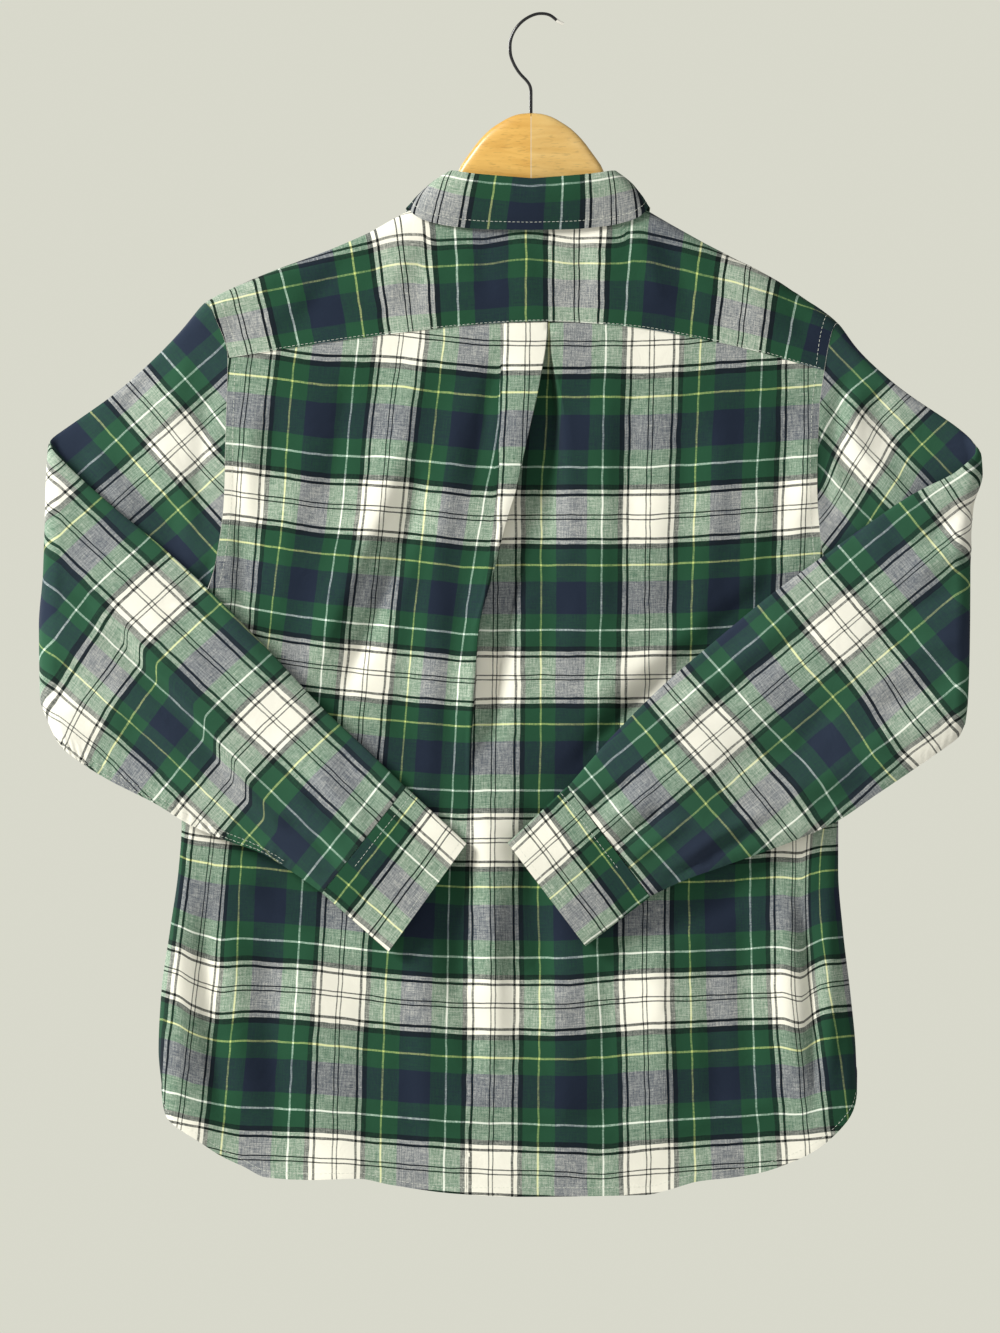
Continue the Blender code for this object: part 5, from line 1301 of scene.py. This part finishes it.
back = makeBack()
yoke = makeYoke()
frontLeft = makeFront("frontLeft", "front_left", -1)
frontRight = makeFront("frontRight", "front_right", 1)
band = makePlacket(frontLeft)
stand = makeStand()
leaf = makeLeaf()
sleeveLeft, sleeveRight = (makeSleeve("sleeve" + side, "sleeve_" + side.lower(), sleeves[side.lower()])
                           for side in ("Left", "Right"))
cuffLeft, cuffRight = (makeCuff("cuff" + side, "cuff_" + side.lower(), cuffs[side.lower()])
                       for side in ("Left", "Right"))
slitLeft = laySleevePlacket("sleevePlacketLeft", "sleeve_placket_left", sleeveLeft)
slitRight = laySleevePlacket("sleevePlacketRight", "sleeve_placket_right", sleeveRight)

stitch = {
    "long": 2.5, "gap": 1.0, "thick": 0.34, "sides": 5, "step": 0.5, "reach": 0.4,
    # a stitch from end to end: share of its length, how high it lies, share of its thickness
    "rings": ((-0.5, -0.14, 0.5), (-0.32, 0.1, 1.0), (0.32, 0.1, 1.0), (0.5, -0.14, 0.5)),
}


def surfaceAt(made, rows, columns, facing):
    # points on a piece's outer face at places in its grid
    rows, columns = np.broadcast_arrays(np.asarray(rows, float), np.asarray(columns, float))
    grid = made["middle"]
    r = np.clip(rows.astype(int), 0, grid.shape[0] - 2)
    c = np.clip(columns.astype(int), 0, grid.shape[1] - 2)
    fr, fc = (rows - r)[:, None], (columns - c)[:, None]

    def mix(values):
        low = values[r, c] * (1 - fr) + values[r + 1, c] * fr
        return low * (1 - fc) + (values[r, c + 1] * (1 - fr) + values[r + 1, c + 1] * fr) * fc

    normal = mix(made["normal"])
    normal = normal / np.linalg.norm(normal, axis=1, keepdims=True)
    normal = normal * np.where(normal @ np.array(facing, float) < 0, -1, 1)[:, None]
    return mix(grid) + normal * mix(np.broadcast_to(made["half"], grid.shape[:2] + (1,))), normal


def gridLines(made, *rows):
    # each row: along a row or a column of the piece's grid, which one, from, to and the side that faces out;
    # a place below zero counts from the far end
    lines = []
    for way, *places, facing in rows:
        which, along = made["middle"].shape[:2][::1 if way == "row" else -1]
        counts = (which, along, along)
        at, first, last = (place + count if place < 0 else place for place, count in zip(places, counts))
        spots = np.arange(first, last, stitch["step"])
        fixed = np.full(len(spots), float(at))
        lines.append(surfaceAt(made, *((fixed, spots) if way == "row" else (spots, fixed)), facing))
    return lines


def sew(name, made, slot, lines, size=stitch):
    # rows of small raised stitches; each line is a pair of points and normals
    points, faces, start = [], [], 0
    sides = size["sides"]
    around = range(sides)
    turn = np.linspace(0, 2 * math.pi, sides, endpoint=False)[None, :, None]
    single = [(ring * sides + j, ring * sides + (j + 1) % sides, (ring + 1) * sides + (j + 1) % sides,
               (ring + 1) * sides + j) for ring in range(3) for j in around]
    single += [tuple(around), tuple(3 * sides + j for j in reversed(around))]
    for spots, normals in lines:
        length = alongRow(spots)

        def onLine(values, at):
            return np.stack([np.interp(at, length, values[:, k]) for k in range(3)], -1)

        count = max(int(length[-1] / (size["long"] + size["gap"])), 1)
        at = (np.arange(count) + 0.5) * length[-1] / count
        rings = []
        for share, high, wide in size["rings"]:
            place = at + share * size["long"]
            up = onLine(normals, place)
            ahead = onLine(spots, place + size["reach"]) - onLine(spots, place - size["reach"])
            ahead = ahead / np.maximum(np.linalg.norm(ahead, axis=1, keepdims=True), 1e-9)
            aside = np.cross(ahead, up)[:, None]
            radius = size["thick"] / 2 * wide
            middle = onLine(spots, place) + up * high
            rings.append(middle[:, None] + radius * (np.cos(turn) * aside + np.sin(turn) * up[:, None]))
        points.append(np.stack(rings, 1).reshape(-1, 3))
        faces += [tuple(start + corner for corner in face)
                  for start in range(start, start + count * 4 * sides, 4 * sides) for face in single]
        start += count * 4 * sides
    piece = makeMesh(name, np.concatenate(points), faces, thread, sharp=60)
    wear(piece, slot)
    if made:
        made["with"] = [piece]


def leafEdge():
    # the leaf turns round the neck, and its outer face with it
    count = leaf["middle"].shape[1]
    columns = np.arange(collar["stitchFrom"], count + collar["stitchTo"], stitch["step"])
    share = (columns - (count - 1) / 2) / ((count - 1) / 2)
    facing = np.stack([share, -np.cos(share * collar["faceTurn"]), 0 * share], -1)
    spots, normals = surfaceAt(leaf, np.full(len(columns), collar["stitchRow"]), columns, toBack)
    flip = np.where(np.sum(normals * facing, axis=1) < 0, -1, 1)[:, None]
    return spots + normals * (flip - 1) * wallBand / 2, normals * flip


toBack, toFront = (0, -1, 0), (0, 1, 0)
armStart = len(sideRows) + 4
sew("backStitches", back, "cloth", gridLines(
    back, ("row", 1.8, 1.5, -2, toBack), ("column", 2.6, armStart, -2, toBack),
    ("column", -3.6, armStart, -2, toBack)))
sew("yokeStitches", yoke, "cloth", gridLines(
    yoke, ("row", 0.45, 1, -1.5, toBack), ("column", 2.8, 1, -2, toBack), ("column", -3.8, 1, -2, toBack),
    ("row", -1.5, 1, 38, toFront), ("row", -1.5, -39, -2, toFront)))
for name, front in (("frontLeft", frontLeft), ("frontRight", frontRight)):
    sew(name + "Stitches", front, "cloth", gridLines(front, ("row", 1.8, 1.5, -2, toFront)))
sew("placketStitches", band, "band", gridLines(
    band, ("column", 1.3, 0.5, -1.5, toFront), ("column", 12.7, 0.5, -1.5, toFront)))
leafEnds = [("column", collar[end], 2, collar["stitchRow"], toFront) for end in ("stitchFrom", "stitchTo")]
sew("collarStitches", leaf, "band", [leafEdge(), *gridLines(leaf, *leafEnds)])
for name, cuff in (("cuffLeft", cuffLeft), ("cuffRight", cuffRight)):
    spans = ((31, 72, toBack), (1, 19, toFront), (80, -3, toFront))  # the face that shows, then the hidden one
    rows = [("row", at, *span) for span in spans for at in (2.6, -2.9)]
    sew(name + "Stitches", cuff, "band", gridLines(cuff, *rows, ("column", -3.2, 2.6, -3, toFront)))
# the felled seam shows on the left forearm's lower edge, and on the hidden face of the right one
for name, sleeve, columns, facing in (("sleeveLeft", sleeveLeft, (139.6, 138.8), toBack),
                                      ("sleeveRight", sleeveRight, (1.1, 3.4), toFront)):
    past, stop = (int(np.argmax(sleeve["dense"] > sleeveCloth[end])) for end in ("stitchFrom", "stitchTo"))
    sew(name + "Stitches", sleeve, "cloth", gridLines(
        sleeve, *[("column", column, past, stop, facing) for column in columns]))
print("sewn the seams, hems and edges")

buttonShape = {
    "radius": 5.6, "half": 1.2, "holeRadius": 0.75, "holeOut": 1.35, "sides": 40,
    "profile": ((0, -1.0), (0.88, -1.0), (0.97, -0.7), (1.0, 0), (0.975, 0.72), (0.91, 1.0), (0.8, 1.0),
                (0.7, 0.72), (0.5, 0.6), (0, 0.58)),
    "threadAt": 0.62, "threadArch": 0.25, "threadsApart": 0.2, "threadPoints": 9, "drillSides": 18, "drillHalf": 3,
}
pearl = plainMaterial("pearly button", (0.78, 0.755, 0.68), 0.22, coat=0.5, noise=0.16, scale=420)


turnedEdge = 50  # an edge sharper than this many degrees stays crisp on a turned piece


def lathe(name, profile, sides, material):
    # profile is (radius, height) from one end of the axis to the other; the axis is Y
    turn = np.linspace(0, 2 * math.pi, sides, endpoint=False)
    points = [(0, profile[0][1], 0)]
    points += [(r * math.cos(a), y, r * math.sin(a)) for r, y in profile[1:-1] for a in turn]
    points.append((0, profile[-1][1], 0))
    faces = [(0, 1 + (k + 1) % sides, 1 + k) for k in range(sides)]
    for ring in range(len(profile) - 3):
        low, high = 1 + ring * sides, 1 + (ring + 1) * sides
        faces += [(low + k, low + (k + 1) % sides, high + (k + 1) % sides, high + k) for k in range(sides)]
    last = 1 + (len(profile) - 3) * sides
    faces += [(len(points) - 1, last + k, last + (k + 1) % sides) for k in range(sides)]
    return makeMesh(name, points, faces, material, sharp=turnedEdge)


def drilledButton():
    radius, half = buttonShape["radius"], buttonShape["half"]
    profile = [(r * radius, y * half) for r, y in buttonShape["profile"]]
    blank = lathe("buttonBlank", profile, buttonShape["sides"], pearl)
    out, hole, end = (buttonShape[name] for name in ("holeOut", "holeRadius", "drillHalf"))
    drills = []
    for sx in (-1, 1):
        for sz in (-1, 1):
            drill = lathe("drill", [(0, -end), (hole, -end), (hole, end), (0, end)], buttonShape["drillSides"], pearl)
            drill.location = (sx * out * mm, 0, sz * out * mm)
            cut = blank.modifiers.new("hole", "BOOLEAN")
            cut.operation, cut.object, cut.solver = "DIFFERENCE", drill, "EXACT"
            drills.append(drill)
    bpy.context.view_layer.update()
    shaped = blank.evaluated_get(bpy.context.evaluated_depsgraph_get())
    mesh = bpy.data.meshes.new_from_object(shaped)
    for thing in (blank, *drills):
        bpy.data.objects.remove(thing, do_unlink=True)
    mesh.shade_smooth()
    mesh.set_sharp_from_angle(angle=math.radians(turnedEdge))
    return mesh


drilled = drilledButton()
buttonThread = {**stitch, "long": 2.9, "gap": 0.0, "thick": 0.42}


def sewButton(name, node):
    # places the button, and gives back the lines of its thread
    low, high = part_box(node)
    centre = [(a + b) / 2 for a, b in zip(low, high)]
    thick = (high[1] - low[1]) / mm
    mesh = drilled.copy()
    squeeze = thick / (2 * buttonShape["half"])
    for vertex in mesh.vertices:
        vertex.co = (vertex.co.x + centre[0], vertex.co.y * squeeze + centre[1], vertex.co.z + centre[2])
    wear(addObject(name, mesh), "button", node)
    out = buttonShape["holeOut"]
    lines = []
    top = centre[1] / mm + thick / 2 * buttonShape["threadAt"]
    z = np.linspace(-out, out, buttonShape["threadPoints"])
    for sx in (-1, 1):
        for nudge in (-buttonShape["threadsApart"], buttonShape["threadsApart"]):
            x = np.full(len(z), centre[0] / mm + sx * out + nudge)
            y = top + buttonShape["threadArch"] * (1 - (z / out) ** 2)
            spots = np.stack([x, y, centre[2] / mm + z], -1)
            lines.append((spots, np.tile((0.0, 1.0, 0.0), (len(z), 1))))
    return lines


buttons = [(f"frontButton{number}", f"front_button_{number}") for number in range(1, 7)]
buttons += [("collarButton", "collar_button")]
buttons += [("cuffButton" + side, "cuff_button_" + side.lower()) for side in ("Left", "Right")]
sew("buttonThreads", None, "button", [line for button in buttons for line in sewButton(*button)], buttonThread)
print("made the buttons")

hanger = {
    "stemX": -6.4, "reach": 215.0, "half": 6.2, "seat": 2.3,
    "dome": (  # out from the stem, top edge, lower edge
        (0, -78.4, -142), (8, -79, -142.5), (16, -81.3, -143.5), (24, -85.6, -145), (32, -91, -147),
        (41, -99.8, -150), (50, -111.8, -154), (57, -122, -158), (61.5, -134, -162), (64.5, -146, -166),
        (68, -155, -170), (78, -161, -176), (90, -164, -184),
    ),
    "domeEnd": 72.0, "domeBlend": 30.0, "drop": 31.0, "dropFrom": 90.0, "tipDrop": 22.0, "stemY": -3.0,
    "bendFrom": 40.0, "bendOver": 60.0, "tipRound": 9.0, "tipTurn": 9.5, "tipKept": 0.35,
    "squareY": 0.7, "squareZ": 0.55, "sides": 44,
    "outs": (0.2, 1.2, *range(4, 204, 4), 203, 206, 209, 211, 213, 214.2, 215),
}


def armSection(out, side):
    x = hanger["stemX"] + side * out
    topDome, lowDome = smoothCurve(hanger["dome"], 1)(out), smoothCurve(hanger["dome"], 2)(out)
    blend = float(ease((out - hanger["domeEnd"]) / hanger["domeBlend"]))
    armTop = float(ridge(x)) - hanger["seat"]
    reach, turn = hanger["reach"], np.linspace(0, 2 * math.pi, hanger["sides"], endpoint=False)
    beyond = ease((out - hanger["dropFrom"]) / (reach - hanger["dropFrom"]))
    tall = hanger["drop"] + (hanger["tipDrop"] - hanger["drop"]) * beyond
    top = topDome + (armTop - topDome) * blend
    low = lowDome + (armTop - tall - lowDome) * blend
    share = out / reach
    middle = hanger["stemY"] + (float(lie(hanger["stemX"] + side * reach)) - hanger["stemY"]) * (1 - (1 - share) ** 2)
    middle += (float(lie(x)) - middle) * ease((out - hanger["bendFrom"]) / hanger["bendOver"])
    tip = math.sqrt(max(0.0, 1 - max(0.0, (out - reach + hanger["tipRound"]) / hanger["tipTurn"]) ** 2))
    cos, sin = np.cos(turn), np.sin(turn)
    y = middle + hanger["half"] * tip * np.sign(cos) * np.abs(cos) ** hanger["squareY"]
    kept = hanger["tipKept"] + (1 - hanger["tipKept"]) * tip
    z = (top + low) / 2 + (top - low) / 2 * kept * np.sign(sin) * np.abs(sin) ** hanger["squareZ"]
    return np.column_stack([np.full(len(turn), x), y, z])


wood = {
    "finish": {"Roughness": 0.34, "Coat Weight": 0.35, "Coat Roughness": 0.22},
    "grain": (14, 60, 110), "slant": 0.12, "twist": 0.8, "darkFrom": 0.3, "paleFrom": 0.68,
    "flecks": (150, 500, 900), "fleckFrom": 0.28, "fleckTo": 0.42, "fleckTone": 0.8,  # short and dark, as in beech
    "relief": 0.12, "reliefDeep": 0.0004,
}


def woodMaterial(name, pale, dark):
    material, tree, shader = startMaterial(name, wood["finish"])
    place = addNode(tree, "TexCoord", {})["Object"]
    stretched = {"Vector": place, "Scale": wood["grain"], "Rotation": (0, wood["slant"], 0)}
    grain = addNoise(tree, addNode(tree, "Mapping", stretched)[0], 1.0, 5, wood["twist"])["Fac"]
    ramp = tree.nodes.new("ShaderNodeValToRGB")
    feed(tree, ramp, {0: grain})
    for stop, position, colour in zip(ramp.color_ramp.elements, (wood["darkFrom"], wood["paleFrom"]), (dark, pale)):
        stop.position, stop.color = position, (*colour, 1)
    flecks = addNoise(tree, addNode(tree, "Mapping", {"Vector": place, "Scale": wood["flecks"]})[0], 1.0, 1)["Fac"]
    toned = tone(tree, ramp.outputs["Color"], flecks, wood["fleckTone"], 1.0, wood["fleckFrom"], wood["fleckTo"])
    relief = addBump(tree, grain, wood["relief"], wood["reliefDeep"])
    feed(tree, shader, {"Base Color": toned, "Normal": relief})
    return material


# the left half gets darker wood colours than the right: painted shade, as the two halves face the light at different
# angles
for name, node, side, pale, dark in (
    ("hangerLeft", "hanger_left", -1, (0.78, 0.475, 0.125), (0.60, 0.315, 0.062)),
    ("hangerRight", "hanger_right", 1, (0.86, 0.585, 0.215), (0.70, 0.42, 0.115)),
):
    rings = np.array([armSection(out, side) for out in hanger["outs"]])
    rows, columns = rings.shape[:2]
    index = np.arange(rows * columns).reshape(rows, columns)
    index = np.hstack([index, index[:, :1]])
    corners = index[:-1, :-1], index[:-1, 1:], index[1:, 1:], index[1:, :-1]
    faces = np.stack([c.ravel() for c in corners], axis=1).tolist()
    faces += [index[0, :-1].tolist(), index[-1, :-1][::-1].tolist()]
    wear(makeMesh(name, rings.reshape(-1, 3), faces, woodMaterial("varnished beech " + name, pale, dark), sharp=50),
         "wood", node)

hook = {
    "wire": 1.25, "steps": 150,
    "path": (
        (-6.4, -82), (-6.4, -68), (-6.4, -59), (-8.3, -54.5), (-15.6, -46.5), (-20.4, -38.5), (-23, -30.5),
        (-23.2, -23.5), (-21.6, -16.4), (-18, -10), (-12.6, -4.4), (-6.4, -0.7), (0, 1.25), (6.4, 0.9),
        (11.4, -1.7), (15.4, -5.4), (20.6, -7.6),
    ),
    "tipPoints": 10, "tipProud": 0.15,
}
path = np.array(hook["path"], float)
length = alongRow(path)
steps = np.linspace(0, length[-1], hook["steps"])
wire = (curveThrough(length, way)(steps) for way in path.T)
wireX, wireZ = (np.convolve(np.pad(way, 4, mode="edge"), np.ones(9) / 9, mode="valid") for way in wire)
wireY = armSection(0.4, 1)[:, 1].mean()
lacquer = plainMaterial("black lacquered wire", (0.012, 0.012, 0.014), 0.28, metallic=0.4, coat=0.6, noise=0.3,
                        scale=500)
# the tip is a real small ball end; its pale colour is a painted highlight
tipWithPaintedHighlight = plainMaterial("hook tip painted pale as a highlight", (0.72, 0.70, 0.64), 0.4, noise=0.08, scale=700, bump=0.1)


def wireCurve(name, xs, zs, radius, material):
    curve = bpy.data.curves.new(name, "CURVE")
    curve.dimensions = "3D"
    curve.bevel_depth = radius * mm
    curve.bevel_resolution = 5
    curve.use_fill_caps = True
    line = curve.splines.new("POLY")
    line.points.add(len(xs) - 1)
    for point, x, z in zip(line.points, xs, zs):
        point.co = (x * mm, wireY * mm, z * mm, 1)
    curve.materials.append(material)
    return addObject(name, curve)


wear(wireCurve("hookWire", wireX, wireZ, hook["wire"], lacquer), "wire", "hook")
tip = slice(-hook["tipPoints"], None)
wear(wireCurve("hookTip", wireX[tip], wireZ[tip], hook["wire"] + hook["tipProud"], tipWithPaintedHighlight), "wire")
print("made the hanger")

studio = {
    "wall": (0.69, 0.69, 0.60), "ambient": 0.27, "floorZ": -1.3, "floorEdge": 6,
    "middle": (-31.2, -521.2), "high": 1066.4, "away": 3.0, "aim": (0, 0, -0.5),
    # name, place, size, power, colour
    "lights": (
        ("keyLight", (-4.5, -2.9, 2.3), 1.9, 430, (1, 0.995, 0.95)),
        ("fillLight", (2.2, -3.4, 0.2), 2.4, 16, (1, 1, 1)),
        ("frontLight", (-3.3, 2.8, 0.5), 1.6, 125, (1, 1, 1)),
    ),
}


def areaLight(name, at, size, power, colour):
    light = bpy.data.lights.new(name, "AREA")
    light.shape = "RECTANGLE"
    light.size = light.size_y = size
    light.energy, light.color = power, colour
    lamp = addObject(name, light)
    lamp.location = at
    lamp.rotation_euler = (Vector(studio["aim"]) - Vector(at)).to_track_quat("-Z", "Y").to_euler()


world = bpy.data.worlds.new("studio")
world.use_nodes = True
sky = world.node_tree
shown = sky.nodes["Background"]
feed(sky, shown, {"Color": (*studio["wall"], 1)})
ambient = addNode(sky, "Background", {"Color": (1, 1, 0.95, 1), "Strength": studio["ambient"]})[0]
seen = addNode(sky, "LightPath", {})["Is Camera Ray"]
both = addNode(sky, "MixShader", {"Fac": seen, 1: ambient, 2: shown.outputs[0]})[0]
feed(sky, sky.nodes["World Output"], {"Surface": both})
scene = bpy.context.scene
scene.world = world
scene.view_settings.view_transform = "Standard"

floorMesh = bpy.data.meshes.new("studioFloor")
edge, level = studio["floorEdge"], studio["floorZ"]
corners = [(-edge, -edge, level), (edge, -edge, level), (edge, edge, level), (-edge, edge, level)]
floorMesh.from_pydata(corners, [], [(0, 1, 2, 3)])
floorMesh.materials.append(plainMaterial("pale floor", (0.62, 0.61, 0.58), 0.9, noise=0.04, scale=8))
addObject("studioFloor", floorMesh)

for name, at, size, power, colour in studio["lights"]:
    areaLight(name, at, size, power, colour)

camera = bpy.data.cameras.new("camera")
camera.type = "ORTHO"
camera.ortho_scale = studio["high"] * mm
eye = addObject("camera", camera)
eye.location = (studio["middle"][0] * mm, -studio["away"], studio["middle"][1] * mm)
eye.rotation_euler = (math.pi / 2, 0, 0)
scene.camera = eye
